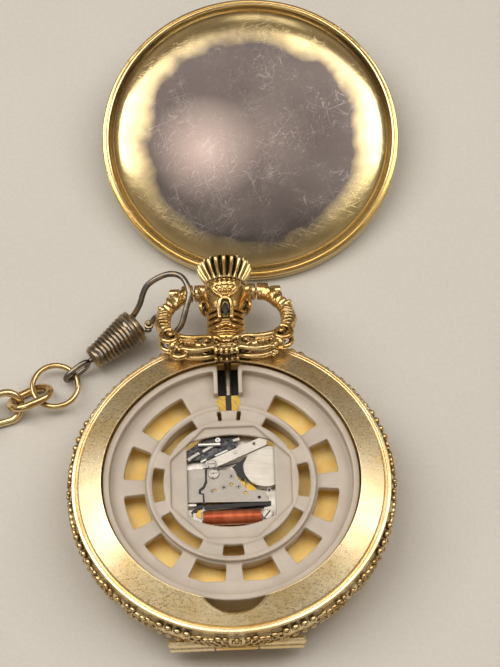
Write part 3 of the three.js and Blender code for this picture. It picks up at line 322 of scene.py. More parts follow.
COVER_FINISH = cover_finish()
HOLDER = holder_finish()
DIAL = dial_finish()
CRYSTAL = crystal_finish()
STEEL = brushed_steel("bright_steel", "d8d2c8", "b9b3a9", 0.3, 0.4)
PLATE = brushed_steel("nickel_plate", "f0e9df", "ddd5ca", 0.4, 1.57)
BRIDGE = brushed_steel("grained_bridge", "b2aaa0", "a09990", 0.5, 0.0, 0.6)
LEVER = brushed_steel("clamp_lever", "dad3c9", "c8c0b6", 0.36, 0.42)
CELL = brushed_steel("cell_case", "d3ccc1", "bdb6aa", 0.4, 0.15, 0.03)
WHITE_METAL = brushed_steel("white_metal", "efeeea", "d5d3ce", 0.3, 0.7)
BRASS = brushed_steel("yellow_brass", "e6c264", "cda54a", 0.3, 0.9)
CIRCUIT = circuit_finish()
COPPER = copper_finish()
PEWTER = pewter_finish()
# black for painted shade in narrow openings, holes and slots, and for the black rotor
BLACK = ink_finish("black_shade_and_rotor", "14110f", "221d1a", 0.5)
INK = ink_finish("black_ink", "15130f", "1f1c19", 0.35)


def floor_finish():
    f = Finish("table_top", roughness=0.75)
    cloud = f.noise(60, detail=4)
    grain = f.noise(0.6, detail=3)
    colour = f.mix(f.spread(cloud, 0.3, 0.7), "c9c4bb", "d1ccc3")
    colour = f.mix(f.spread(grain, 0.35, 0.65, 0.0, 0.10), colour, "a9a398")
    return f.done(colour, f.spread(grain, 0.3, 0.7, 0.65, 0.85), f.bump(grain, 0.05, 0.4))


# ---------------------------------------------------------------- stage, light and camera
def stage():
    half = 1.5
    mesh = bpy.data.meshes.new("table")
    corners = [(-half, -half, 0), (half, -half, 0), (half, half, 0), (-half, half, 0)]
    mesh.from_pydata(corners, [], [(0, 1, 2, 3)])
    mesh.materials.append(floor_finish())
    table = bpy.data.objects.new("table", mesh)
    bpy.context.scene.collection.objects.link(table)


def lamp(name, place, size, power):
    """A soft daylight panel in metres and watts, aimed at the watch."""
    light = bpy.data.lights.new(name, "AREA")
    light.shape = "RECTANGLE"
    light.size, light.size_y = size
    light.energy = power
    light.color = (1, 0.98, 0.95)
    lamp_object = bpy.data.objects.new(name, light)
    lamp_object.location = place
    lamp_object.rotation_euler = (Vector((0, 0.02, 0)) - Vector(place)).to_track_quat("-Z", "Y").to_euler()
    bpy.context.scene.collection.objects.link(lamp_object)


def lights():
    lamp("left_window", (-0.31, 0.13, 0.6), (0.38, 0.62), 2.8)
    lamp("right_window", (0.31, 0.11, 0.6), (0.34, 0.62), 2.0)
    lamp("near_window", (-0.1, -0.5, 0.5), (0.4, 0.3), 0.3)
    world = bpy.data.worlds.new("room")
    bpy.context.scene.world = world
    world.use_nodes = True
    tree = world.node_tree
    coords = tree.nodes.new("ShaderNodeTexCoord")
    split = tree.nodes.new("ShaderNodeSeparateXYZ")
    ramp = tree.nodes.new("ShaderNodeValToRGB")
    tree.links.new(coords.outputs["Generated"], split.inputs[0])
    tree.links.new(split.outputs[2], ramp.inputs[0])
    # room brightness by height, so that metal mirrors dark walls and a pale ceiling
    stops = [(0.0, "3a3028"), (0.2, "6a5e52"), (0.45, "a89d90"), (0.7, "8c8174"), (0.95, "998e81"),
             (0.99, "ece3d5")]
    while len(ramp.color_ramp.elements) < len(stops):
        ramp.color_ramp.elements.new(0.5)
    for element, (position, colour) in zip(ramp.color_ramp.elements, stops):
        element.position = position
        element.color = linear(colour)
    background = tree.nodes["Background"]
    path = tree.nodes.new("ShaderNodeLightPath")
    seen = tree.nodes.new("ShaderNodeMix")
    seen.data_type = "RGBA"
    tree.links.new(path.outputs["Is Camera Ray"], seen.inputs[0])
    tree.links.new(ramp.outputs[0], seen.inputs[6])
    seen.inputs[7].default_value = linear("dcd6cc")
    tree.links.new(seen.outputs[2], background.inputs[0])
    background.inputs[1].default_value = 0.8


def camera():
    elevation = radians(63)
    roll = radians(-2.2)
    data = bpy.data.cameras.new("camera")
    data.lens = 151
    data.clip_start, data.clip_end = 0.01, 10
    camera_object = bpy.data.objects.new("camera", data)
    camera_object.location = (0.0035, -0.1631, 0.3768)
    tilt = Matrix.Rotation(pi / 2 - elevation, 4, "X")
    camera_object.rotation_euler = (tilt @ Matrix.Rotation(roll, 4, "Z")).to_euler()
    bpy.context.scene.collection.objects.link(camera_object)
    bpy.context.scene.camera = camera_object
    bpy.context.scene.view_settings.view_transform = "Standard"


stage()
lights()
camera()


# ---------------------------------------------------------------- mesh builder
SIDEWAYS = Matrix.Rotation(pi / 2, 4, "Y")


def spin(angle):
    return Matrix.Rotation(angle, 3, "Z")


def around(count, start=0.0):
    """Angles evenly round a circle."""
    return [2 * pi * k / count + start for k in range(count)]


def slab(x, y, half_long, half_wide, angle=0.0):
    """Corners of a turned rectangle."""
    c, s = cos(angle), sin(angle)
    ends = (-half_long, -half_wide), (half_long, -half_wide), (half_long, half_wide), (-half_long, half_wide)
    return [(x + a * c - b * s, y + a * s + b * c) for a, b in ends]


class Builder:
    """Collects smooth surfaces in millimetres and turns them into one piece."""

    def __init__(self):
        self.corners = []
        self.faces = []

    def grid(self, rows, closed_rows=False):
        """A skin over closed rows of points, all of the same length."""
        start = len(self.corners)
        width = len(rows[0])
        for row in rows:
            self.corners.extend(tuple(point) for point in row)
        count = len(rows)
        for i in range(count if closed_rows else count - 1):
            below = start + (i + 1) % count * width
            above = start + i * width
            for j in range(width):
                k = (j + 1) % width
                self.faces.append((above + j, above + k, below + k, below + j))

    def cap(self, row, centre, flip=False):
        start = len(self.corners)
        self.corners.extend(tuple(point) for point in row)
        self.corners.append(tuple(centre))
        hub = len(self.corners) - 1
        for j in range(len(row)):
            k = (j + 1) % len(row)
            face = (start + j, start + k, hub)
            self.faces.append(face[::-1] if flip else face)

    def lathe(self, profile, steps=96, place=None, radius=None, closed=True):
        """Turns [radius, height] points about Z; radius(r, angle, z) may modulate the surface."""
        rows = []
        for r, z in profile:
            row = []
            for j in range(steps):
                angle = 2 * pi * j / steps
                reach = radius(r, angle, z) if radius else r
                point = Vector((reach * cos(angle), reach * sin(angle), z))
                row.append(place @ point if place else point)
            rows.append(row)
        self.grid(rows, closed_rows=closed)

    def tube(self, path, radius, sides=12, closed=False, wide=1.0, side=None):
        """A round bar along points; radius is a number or a function of the share along it."""
        count = len(path)
        path = [Vector(point) for point in path]
        tangents = []
        for i in range(count):
            ahead = path[(i + 1) % count] if closed or i < count - 1 else path[i]
            behind = path[i - 1] if closed or i > 0 else path[i]
            tangents.append((ahead - behind).normalized())
        normal = Vector(side) if side is not None else tangents[0].orthogonal()
        rows = []
        for i, (point, tangent) in enumerate(zip(path, tangents)):
            normal = (normal - tangent * normal.dot(tangent)).normalized()
            across = tangent.cross(normal)
            reach = radius(i / (count - 1)) if callable(radius) else radius
            rows.append([
                point + (normal * sin(a) + across * cos(a) * wide) * reach
                for a in (2 * pi * j / sides for j in range(sides))
            ])
        self.grid(rows, closed_rows=closed)
        if not closed:
            tips = (rows[0], -tangents[0], path[0], True), (rows[-1], tangents[-1], path[-1], False)
            for row, tangent, point, flip in tips:
                reach = (row[0] - point).length
                inner = [point + (corner - point) * 0.6 + tangent * reach * 0.45 for corner in row]
                self.grid([inner, row] if flip else [row, inner])
                self.cap(inner, point + tangent * reach * 0.6, flip)

    def ball(self, centre, size, turn=None, steps=12):
        """An ellipsoid with half sizes size, turned by a matrix."""
        centre = Vector(centre)
        rows = []
        for i in range(1, steps // 2):
            level = pi * i / (steps // 2)
            row = []
            for j in range(steps):
                angle = 2 * pi * j / steps
                point = Vector((
                    size[0] * sin(level) * cos(angle),
                    size[1] * sin(level) * sin(angle),
                    size[2] * cos(level),
                ))
                row.append(centre + (turn @ point if turn else point))
            rows.append(row)
        self.grid(rows)
        pole = Vector((0, 0, size[2]))
        pole = turn @ pole if turn else pole
        self.cap(rows[0], centre + pole, flip=False)
        self.cap(rows[-1], centre - pole, flip=True)

    def moved(self, matrix):
        self.corners = [tuple(matrix @ Vector(corner)) for corner in self.corners]

    def piece(self, name, material, body, slot, replaced=(), fuse=None, soften=0):
        """Makes the object; fuse is a voxel size in millimetres that melts the shapes together."""
        mesh = bpy.data.meshes.new(name)
        mesh.from_pydata([tuple(c * MM for c in corner) for corner in self.corners], [], self.faces)
        mesh.validate()
        made = bpy.data.objects.new(name, mesh)
        bpy.context.scene.collection.objects.link(made)
        if fuse:
            remesh = made.modifiers.new("fuse", "REMESH")
            remesh.mode = "VOXEL"
            remesh.voxel_size = fuse * MM
            if soften:
                smooth = made.modifiers.new("soften", "SMOOTH")
                smooth.factor = 0.5
                smooth.iterations = soften
            graph = bpy.context.evaluated_depsgraph_get()
            fused = bpy.data.meshes.new_from_object(made.evaluated_get(graph))
            made.modifiers.clear()
            made.data = fused
            mesh = fused
        mesh.materials.clear()
        mesh.materials.append(material)
        mesh.shade_smooth()
        if not fuse:
            sharp = mesh.attributes.new("sharp_edge", "BOOLEAN", "EDGE")
            mark_creases(mesh, sharp)
        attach(made, body)
        if replaced:
            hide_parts(*replaced)
        return made


def mark_creases(mesh, sharp):
    """Marks edges between faces that meet at more than 38 degrees."""
    normals = [polygon.normal.copy() for polygon in mesh.polygons]
    first = {}
    for polygon in mesh.polygons:
        for key in polygon.edge_keys:
            first.setdefault(key, []).append(polygon.index)
    limit = cos(radians(38))
    for edge in mesh.edges:
        sides = first.get(tuple(sorted(edge.vertices)), [])
        if len(sides) == 2 and normals[sides[0]].dot(normals[sides[1]]) < limit:
            sharp.data[edge.index].value = True


def smooth_line(points, steps, closed=False):
    """Catmull-Rom points through the given ones, steps to each span."""
    points = [Vector(point) for point in points]
    count = len(points)
    line = []
    for i in range(count if closed else count - 1):
        if closed:
            p0, p1, p2, p3 = (points[(i + k) % count] for k in (-1, 0, 1, 2))
        else:
            p0, p1, p2, p3 = (points[min(max(i + k, 0), count - 1)] for k in (-1, 0, 1, 2))
        for j in range(steps):
            t = j / steps
            line.append(0.5 * (2 * p1 + (p2 - p0) * t + (2 * p0 - 5 * p1 + 4 * p2 - p3) * t**2
                               + (3 * p1 - p0 - 3 * p2 + p3) * t**3))
    if not closed:
        line.append(points[-1])
    return line


def rounded(profile, radius=0.12, steps=3, closed=True):
    """Replaces each corner of a [radius, height] outline by a small arc."""
    points = [Vector((r, z)) for r, z in profile]
    count = len(points)
    out = []
    for i, point in enumerate(points):
        if not closed and i in (0, count - 1):
            out.append(tuple(point))
            continue
        back = points[i - 1] - point
        ahead = points[(i + 1) % count] - point
        cut = min(radius, back.length * 0.45, ahead.length * 0.45)
        start, end = point + back.normalized() * cut, point + ahead.normalized() * cut
        for k in range(steps + 1):
            t = k / steps
            out.append(tuple(start * (1 - t) ** 2 + point * 2 * t * (1 - t) + end * t**2))
    return out


# ---------------------------------------------------------------- case
NOTCH_HALF = 4.1
NOTCH_DEPTH = 1.9
NOTCH_R = (NOTCH_HALF**2 + NOTCH_DEPTH**2) / (2 * NOTCH_DEPTH)
NOTCH_Y = -(FLANGE_IN[0] + NOTCH_DEPTH - NOTCH_R)
LATHE_STEPS = 256


def notched(r, angle, z):
    """Pushes the flange's inner edge out along the thumb notch at 6 o'clock."""
    if r > FLANGE_IN[0] + NOTCH_DEPTH + 0.3 or z < FLANGE_OUT[1] - 1.2:
        return r
    y = sin(angle)
    b = y * NOTCH_Y
    inside = b * b - NOTCH_Y**2 + NOTCH_R**2
    if y > -0.9 or inside <= 0:
        return r
    edge = b + sqrt(inside)
    return max(r, min(edge, FLANGE_IN[0] + NOTCH_DEPTH))


def case_body():
    out_r, out_z = FLANGE_OUT
    in_r, in_z = FLANGE_IN
    flange = [(out_r + (in_r - out_r) * k / 24, out_z + (in_z - out_z) * k / 24) for k in range(25)]
    profile = rounded([
        (BORE_R, 4.6), (CASE_R - 0.75, 4.6), (CASE_R - 0.45, 5.1), (CASE_R - 0.55, 5.5),
        (CASE_R - 0.15, 5.8), (CASE_R, 7), (CASE_R - 0.25, 8.3), (CASE_R - 0.7, 8.75), (CASE_R - 0.55, 9.2),
        (22.98, 9.75), (22.95, 10.0), (22.45, 10.1), (22.42, 9.7), (22.13, 9.7),
    ], 0.12, 3, closed=False)
    bevel = [(out_r, out_z - 0.1)] + flange[1:] + [(in_r, in_z - 0.6), (BORE_R, 9.3)]
    profile += rounded(bevel, 0.08, 2, closed=False)
    builder = Builder()
    builder.lathe(profile, LATHE_STEPS, radius=notched)
    for low, high in ((-9.5, -3.2), (3.2, 9.5)):
        turn = Matrix.Translation((0, -22.2, 3.6)) @ SIDEWAYS
        builder.lathe(rounded([(0.45, low), (0.9, low), (0.9, high), (0.45, high)], 0.1, 2), 28, turn)
        builder.tube([(low, -22.15, 4.35), (high, -22.15, 4.35)], 0.62, 8)
    builder.piece("case_body", GOLD_FLANGE, "case", "gold_plate", ["case_band"])


def band_frame(angle, height=7.0, lift=0.0):
    """Place on the case band: X along it, Y up, Z outward."""
    out = Vector((cos(angle), sin(angle), 0))
    along = Vector((-sin(angle), cos(angle), 0))
    bulge = CASE_R - 0.09 * (height - 7) ** 2
    turn = Matrix((along, UP, out)).transposed()
    return out * (bulge + lift) + UP * height, turn


def band_ornament():
    """Cast border: runs of beads, leaf scrolls and rosettes, over a fine milled ring."""
    builder = Builder()

    def bead(angle, height, lift, size, lean=0.0, steps=10):
        place, turn = band_frame(angle, height, lift)
        builder.ball(place, size, turn @ spin(lean), steps)

    repeats = 8
    for k in range(repeats):
        base = 2 * pi * (k + 0.5) / repeats
        for i in range(4):
            angle = base + (i - 1.5) * 1.4 / CASE_R
            bead(angle, 8.3, 0.02, (0.64, 0.64, 0.56), steps=14)
            bead(angle, 5.9, -0.05, (0.5, 0.5, 0.42), steps=12)
        for side in (-1, 1):
            for j in range(5):
                angle = base + side * (3.6 + j * 1.02) / CASE_R
                leaf = (0.78 - 0.06 * j, 0.34, 0.42)
                bead(angle, 8.1 - 0.28 * sin(j * 1.4), -0.05, leaf, side * (0.55 - 0.28 * j), 12)
                bead(angle, 7.15 + 0.2 * cos(j * 1.7), -0.02, (0.62, 0.26, 0.34), -side * 0.7)
                bead(angle, 6.05, -0.05, (0.66, 0.3, 0.36), side * 0.5)
            curl = []
            for t in range(15):
                a = 0.5 + t * 0.42
                reach = 0.85 - 0.045 * t
                angle = base + side * (2.95 + reach * cos(a)) / CASE_R
                curl.append(band_frame(angle, 7.5 + reach * sin(a), 0.08)[0])
            builder.tube(curl, lambda t: 0.24 - 0.1 * t, 8)
        for a in around(3, pi / 2):
            bead(base + pi / repeats + 0.42 * cos(a) / CASE_R, 7.75 + 0.42 * sin(a), 0.05, (0.4, 0.4, 0.36))
    for angle in around(132):
        bead(angle, 5.15, -0.32, (0.4, 0.18, 0.26), -0.6, 8)
    builder.piece("band_ornament", GOLD_BAND, "case", "gold_plate")


# ---------------------------------------------------------------- back cover
COVER_TILT = radians(10)
COVER_PLACE = Matrix.Translation((*COVER_CENTRE, 2.06)) @ Matrix.Rotation(COVER_TILT, 4, "X")


def cover_dish():
    """The loose back cover, hollow side up, with a rolled double rim and a milled outer edge."""
    inner = [(0.02, 0.62), (3, 0.63), (6, 0.67), (9, 0.74), (12, 0.86), (14.5, 1.02), (16.5, 1.22), (18.2, 1.5),
             (19.5, 1.85), (20.4, 2.25), (21.05, 2.7), (21.45, 3.2), (21.66, 3.7), (21.8, 4.02)]
    rim = [(21.95, 4.17), (22.12, 4.2), (22.26, 4.12), (22.32, 3.95), (22.36, 3.74), (22.46, 3.7), (22.56, 3.78),
           (22.72, 3.84), (22.86, 3.76), (22.9, 3.6), (22.9, 3.3), (22.84, 3.2), (22.86, 3.1), (22.88, 2.5),
           (22.84, 2.4), (22.9, 2.3)]
    outer = [(22.86, 2.1), (22.6, 1.88), (22.0, 1.78), (20, 1.5), (16, 0.98), (12, 0.55), (8, 0.25), (4, 0.07),
             (0.02, 0.01)]

    def milled(r, angle, z):
        return r - 0.09 * (0.5 + 0.5 * cos(150 * angle)) if r > 22.84 and 2.45 < z < 3.15 else r

    builder = Builder()
    builder.lathe(inner + rim + outer, 600, COVER_PLACE, radius=milled)
    builder.piece("cover_dish", COVER_FINISH, "back_cover", "gold_plate", ["back_cover"])


# ---------------------------------------------------------------- pendant, crown and bow
STEM_PLACE = Matrix(((1, 0, 0, 0), (0, 0, 1, 0), (0, -1, 0, STEM_Z), (0, 0, 0, 1)))
PIVOT_PLACE = Matrix.Translation(BOW_PIVOT) @ SIDEWAYS
BOW_PLACE = Matrix.Translation(BOW_PIVOT) @ Matrix.Rotation(-BOW_TILT, 4, "X")


def scroll(builder, centre, start, turns, outer, inner, thick, height=0.0, steps=20, rise=0.0):
    """A flat spiral bar with a round eye, in the XY plane; start and turns in radians."""
    line = []
    for i in range(steps):
        t = i / (steps - 1)
        reach = outer + (inner - outer) * t
        angle = start + turns * t
        line.append((centre[0] + reach * cos(angle), centre[1] + reach * sin(angle), height + rise * t))
    builder.tube(line, lambda t: thick * (1 - 0.35 * t), 10)
    builder.ball((centre[0], centre[1], height + rise), (inner * 0.95, inner * 0.95, thick * 1.1))


def pendant_piece():
    builder, keyhole_shade = Builder(), Builder()
    for s in (-1, 1):
        ear = [(0.05, s * 2.4), (1.1, s * 2.4), (1.3, s * 3.6), (1.25, s * 4.55), (0.05, s * 4.62)]
        builder.lathe(rounded(ear, 0.2, 3), 28, PIVOT_PLACE)
    profile = [(0.85, 22.9), (3.1, 22.9), (3.2, 23.4), (2.75, 23.7)]
    for k in range(4):
        y = 23.9 + k * 0.95
        profile += [(2.7 - 0.02 * k, y), (2.98 - 0.03 * k, y + 0.3), (2.7 - 0.02 * k, y + 0.7)]
    profile += [(2.75, 27.9), (3.05, 29.2), (3.5, 30.3), (3.75, 31.2), (3.7, 32.0), (3.45, 32.5), (3.1, 32.85),
                (0.85, 32.9)]
    builder.lathe(profile, 96, STEM_PLACE)
    for face in (1, -1):
        def top(x, y, r, lift=0.0):
            return Vector((x, y, STEM_Z + face * (sqrt(max(r * r - x * x, 0.01)) + lift)))

        for row, count in ((31.9, 5), (31.2, 4), (30.55, 3)):
            for i in range(count):
                x = (i - (count - 1) / 2) * 0.72
                builder.ball(top(x, row, 3.6), (0.31, 0.3, 0.3), steps=10)
        for side in (-1, 1):
            border = [top(side * x, y, 3.55 - 0.16 * max(0, 31 - y), 0.12) for x, y in
                      ((2.25, 32.3), (1.95, 31.3), (1.35, 30.3), (0.55, 29.75), (0, 29.6))]
            builder.tube(smooth_line(border, 4), 0.2, 8)
            for k in range(4):
                y = 25.0 + k * 0.9
                roll = [top(side * x, y + 0.06 * k, 2.95, 0.02) for x in (0.95, 1.5, 2.1, 2.6)]
                builder.tube(smooth_line(roll, 3), 0.3, 8)
        key = [(-0.85, 26.2), (-0.95, 27.4), (-0.92, 28.5), (-0.5, 29.35)]
        key = [top(x, y, 3.05, 0.25) for x, y in key + [(-x, y) for x, y in reversed(key)]]
        builder.tube(smooth_line(key, 4), 0.36, 10)
        # painted shade: a dark ellipsoid in the keyhole recess
        keyhole_shade.ball(top(0, 27.7, 3.05, 0.12), (0.42, 1.05, 0.2), steps=14)
        for i in range(5):
            builder.ball(top((i - 2) * 0.62, 25.2 - 0.16 * abs(i - 2), 3.1), (0.34, 0.34, 0.3), steps=10)
    for side in (-1, 1):
        for face in (1, -1):
            builder.ball((side * 3.3, 31.7, STEM_Z + face * 1.6), (0.7, 0.85, 0.7))
        ring = [(side * (3.2 + 0.5 * sin(t)), 29.4 + 0.9 * cos(t), STEM_Z + 1.2 * sin(t)) for t in around(18)]
        builder.tube(ring, 0.3, 8, closed=True)
        builder.ball((side * 3.35, 29.4, STEM_Z), (0.5, 0.6, 0.7))
    keyhole_shade.piece("pendant_keyhole_shade", BLACK, "case", "dark_steel")
    builder.piece("pendant_body", GOLD_CAST, "case", "gold_plate", ["pendant"], fuse=0.12, soften=1)


def crown_piece():
    flutes = 20

    def fluted(r, angle, y):
        deep = 0.62 if 33.5 < y < 36.35 else 0.1
        return r * (1 - deep * 0.4 * (0.5 - 0.5 * cos(flutes * angle)) ** 1.5) if r > 2.7 else r

    profile = [(0.62, 33.2), (2.6, 33.2), (2.78, 33.3), (2.85, 33.5), (3.1, 33.9), (3.45, 34.4), (3.8, 35.0),
               (4.05, 35.5), (4.18, 35.9), (4.15, 36.2), (3.95, 36.42), (3.6, 36.55), (3.0, 36.6), (2.6, 36.52),
               (2.4, 36.6), (1.2, 36.68), (0.62, 36.7)]
    builder = Builder()
    builder.lathe(profile, 400, STEM_PLACE, radius=fluted)
    builder.lathe([(0.02, 36.1), (0.7, 36.1), (0.7, 36.68), (0.02, 36.7)], 32, STEM_PLACE)
    builder.piece("crown_body", GOLD_CROWN, "crown", "gold_plate", ["crown"])


def bow_piece():
    builder = Builder()
    arm = [(5.6, -0.2), (7.3, -1.8), (9.1, -5), (8.7, -8.8), (6.1, -11.6)]
    line = smooth_line([(x, y, 0) for x, y in arm] + [(0, -12.7, 0)] + [(-x, y, 0) for x, y in reversed(arm)], 8)

    def thick(t):
        at_bar = max(0.0, 1 - abs(t - 0.5) / 0.26)
        return 0.95 - 0.33 * sqrt(at_bar) + 0.06 * cos(t * 150)

    builder.tube(line, thick, 14, side=UP, wide=1.12)
    for s in (-1, 1):
        eye = [(0.62, s * 4.75), (1.28, s * 4.75), (1.35, s * 5.3), (1.2, s * 6.5), (0.62, s * 6.5)]
        builder.lathe(rounded(eye, 0.15, 2), 28, SIDEWAYS)
        # leaf clusters down the arm
        for k in range(9):
            share = 0.15 * (k / 8)
            spot = line[int((0.035 + share if s > 0 else 0.965 - share) * (len(line) - 1))]
            for lift in (-1, 1):
                lean = spin(s * (0.9 - 0.25 * k)) @ Matrix.Rotation(lift * 0.4, 3, "X")
                offset = Vector((s * 0.32 * cos(k * 2.4), 0.1, lift * 0.72))
                builder.ball(spot + offset, (0.42, 0.9, 0.46), lean, 10)
            builder.ball(spot + Vector((s * 0.85, 0.15, 0)), (0.34, 0.6, 0.6), spin(s * 0.5), 10)
        # ribs at the shoulder
        for k in range(5):
            x, y = 9.35 - 0.12 * abs(k - 2), -5.4 - 0.72 * k
            builder.ball((s * x, y, 0), (1.25, 0.3, 1.32), spin(-s * (0.25 - 0.12 * k)), 12)
        # big scroll under the shoulder
        for lift in (-1, 1):
            scroll(builder, (s * 8.1, -10.9), pi / 2, -s * 7.2, 1.75, 0.5, 0.46, lift * 0.75, rise=lift * 0.35)
            # C scrolls on the bar, facing the middle
            scroll(builder, (s * 2.9, -12.5), pi * 0.5, s * 7.0, 1.2, 0.34, 0.33, lift * 0.72, rise=lift * 0.3)
            strap = [(s * 8.0, -9.6, lift * 0.6), (s * 6.6, -10.9, lift * 0.75), (s * 4.8, -11.35, lift * 0.8),
                     (s * 2.9, -11.3, lift * 0.8), (s * 1.3, -11.6, lift * 0.8), (s * 0.5, -12.4, lift * 0.8)]
            builder.tube(smooth_line(strap, 5), 0.4, 8)
            leaf = [(s * 7.5, -12.7, lift * 0.6), (s * 5.8, -13.9, lift * 0.7), (s * 4.0, -14.1, lift * 0.75),
                    (s * 2.2, -13.8, lift * 0.8), (s * 0.9, -13.0, lift * 0.8)]
            builder.tube(smooth_line(leaf, 5), lambda t: 0.26 + 0.16 * sin(pi * t), 8)
            for k in range(4):
                spot = (s * (4.75 + 0.6 * k), -12.45 + 0.12 * k, lift * 0.62)
                builder.ball(spot, (0.24, 0.36, 0.3), spin(s * 0.5), 10)
            for k in range(3):
                a = 2.1 * k + 0.4
                spot = (s * (6.9 + 0.4 * cos(a)), -13.5 + 0.4 * sin(a), lift * 0.75)
                builder.ball(spot, (0.34, 0.34, 0.34), steps=10)
        builder.ball((s * 7.6, -12.2, 0), (1.0, 0.8, 0.95), spin(-s * 0.7), 12)
    for lift in (-1, 1):
        for k in range(5):
            x = (k - 2) * 0.78
            spot = (x, -14.25 + 0.08 * abs(k - 2), lift * 0.75)
            builder.ball(spot, (0.36, 0.72, 0.55), spin(-0.12 * (k - 2)), 10)
            builder.ball((x, -14.9 + 0.12 * abs(k - 2), lift * 0.7), (0.3, 0.3, 0.4), steps=10)
        builder.ball((0, -12.1, lift * 1.0), (0.3, 0.6, 0.3), steps=10)
        for s in (-1, 1):
            builder.ball((s * 0.42, -12.55, lift * 1.0), (0.4, 0.22, 0.28), spin(s * 0.8), 10)
    bends = [pi * (0.75 + 1.3 * k / 11) for k in range(12)]
    builder.tube([(-6.9 + 0.95 * cos(a), -14.3 + 0.85 * sin(a), 0.3) for a in bends], 0.42, 10)
    builder.moved(BOW_PLACE)
    builder.piece("bow_body", GOLD_CAST, "bow", "gold_plate", ["bow"], fuse=0.1, soften=1)


def bow_pins():
    for s, node in ((-1, "bow_pin_left"), (1, "bow_pin_right")):
        builder = Builder()
        profile = [(0.02, 4.1), (0.42, 4.1), (0.42, 6.62), (0.66, 6.7), (0.8, 6.85), (0.82, 8.0), (0.74, 8.25),
                   (0.45, 8.4), (0.02, 8.42)]
        builder.lathe([(r, s * x) for r, x in profile], 32, PIVOT_PLACE)
        builder.piece(node + "_barrel", GOLD, "case", "gold_plate", [node])


# ---------------------------------------------------------------- clasp
def clasp_matrix():
    """Place of the sleeve: Z along it, from its wide end."""
    turn = Matrix((CLASP_ACROSS, SLEEVE_AIM.cross(CLASP_ACROSS), SLEEVE_AIM)).transposed().to_4x4()
    return Matrix.Translation(SLEEVE_WIDE) @ turn


def clasp_pieces():
    place = clasp_matrix()
    outline = [(1.95, 0), (2.4, -0.05), (2.62, 0.08), (2.72, 0.35), (2.6, 0.55), (2.72, 0.75), (2.78, 0.95),
               (2.64, 1.18), (2.68, 1.4)]
    for k in range(9):
        s = 1.7 + k * 0.62
        r = 2.66 - 0.98 * (s - 1.7) / 6.1
        outline += [(r - 0.1, s - 0.05), (r + 0.03, s + 0.15), (r + 0.03, s + 0.36)]
    outline += [(1.72, 7.35), (1.84, 7.55), (1.84, 7.85), (1.7, 8.0), (1.66, 8.2), (1.45, 8.4), (0.72, 8.4),
                (0.72, 2.0), (1.95, 2.0)]

    def lobed(r, angle, z):
        return r * (1 + 0.018 * cos(8 * angle)) if 1.6 < z < 7.2 and r > 1.5 else r

    def on(along, across, lift):
        return SLEEVE_WIDE + SLEEVE_AIM * along + CLASP_ACROSS * across + UP * lift

    builder = Builder()
    builder.lathe(outline, 64, place, radius=lobed)
    builder.piece("sleeve_body", PEWTER, "clasp", "pewter", ["clasp_sleeve"])
    route = [on(0.4, -1.1, 0.1), on(0, -1.2, 0.2), on(-1.8, -1.5, 1.6), (-11.6, 33.3, 8.3), (-8.7, 34.3, 9.7),
             (-6.4, 33.6, 10.2), (-5.3, 31, 10.2), (-5.9, 28.4, 9.3), (-6.7, 26.4, 8.3), (-8, 25.3, 7.6)]
    hook = Builder()
    plug = [(0.02, -0.5), (1.7, -0.45), (1.95, -0.1), (1.95, 1.7), (0.02, 1.7)]
    hook.lathe(rounded(plug, 0.15, 2, closed=False), 32, place)
    hook.tube(smooth_line(route, 10), 0.45, 16, side=UP)
    hook.piece("hook_body", PEWTER, "clasp", "pewter", ["clasp_hook"])
    eye_turn = SLEEVE_AIM.cross(CLASP_ACROSS).normalized()
    w = 1.1
    half = [(0.7, 0), (1.2, w * 0.8), (2.2, w), (3.9, w), (4.7, w * 0.6), (4.9, 0)]
    loop = [SLEEVE_NARROW + SLEEVE_AIM * a + eye_turn * b for a, b in half + [(a, -b) for a, b in half[4:0:-1]]]
    loop = smooth_line(loop, 5, closed=True)
    eye = Builder()
    eye.tube(loop, 0.4, 12, closed=True, side=CLASP_ACROSS)
    eye.tube([SLEEVE_NARROW - SLEEVE_AIM * 3, SLEEVE_NARROW, SLEEVE_NARROW + SLEEVE_AIM * 0.8], 0.4, 12)
    eye.piece("eye_body", PEWTER, "swivel_eye", "pewter", ["swivel_eye"])
    # the ring hangs from the eye and comes down to the chain's height
    level = Vector((SLEEVE_AIM.x, SLEEVE_AIM.y, 0)).normalized()
    hole = SLEEVE_NARROW + SLEEVE_AIM * 3.4
    ring_r = 3.4
    aim = (level * 2 * ring_r + UP * (CHAIN_Z - hole.z)).normalized()
    centre = hole + aim * ring_r
    across = UP.cross(aim).normalized()
    ring = Builder()
    hoop = [centre + (aim * cos(a) + across * sin(a)) * ring_r for a in around(72, 0.3)]
    ring.tube(hoop, 0.425, 16, closed=True, side=UP)
    ring.piece("ring_body", CHAIN_GOLD, "clasp", "chain_gold", ["jump_ring"])
    pivot = on(-1.35, 1.5, 0.5)
    gate = Builder()
    barrel = rounded([(0.3, -0.4), (0.7, -0.4), (0.7, 0.4), (0.3, 0.4)], 0.12, 2)
    gate.lathe(barrel, 28, Matrix.Translation(pivot))
    gate.tube(smooth_line([pivot - SLEEVE_AIM * 0.45, on(-2.9, 1.7, 1.3), (-8.4, 25.6, 6.5)], 10), 0.4, 14, side=UP)
    gate.ball(on(-0.75, 2.15, 0.55), (0.55, 0.3, 0.45))
    gate.piece("gate_body", PEWTER, "gate", "pewter", ["clasp_gate"])
    return centre


# ---------------------------------------------------------------- chain
COIL_CENTRE = Vector((-65.3, -8.5))
COIL_OUT_R = 25.5
TURN_STEP = 4.9
COIL_DEGREES = 600
INNER_BEND_R = 9.5


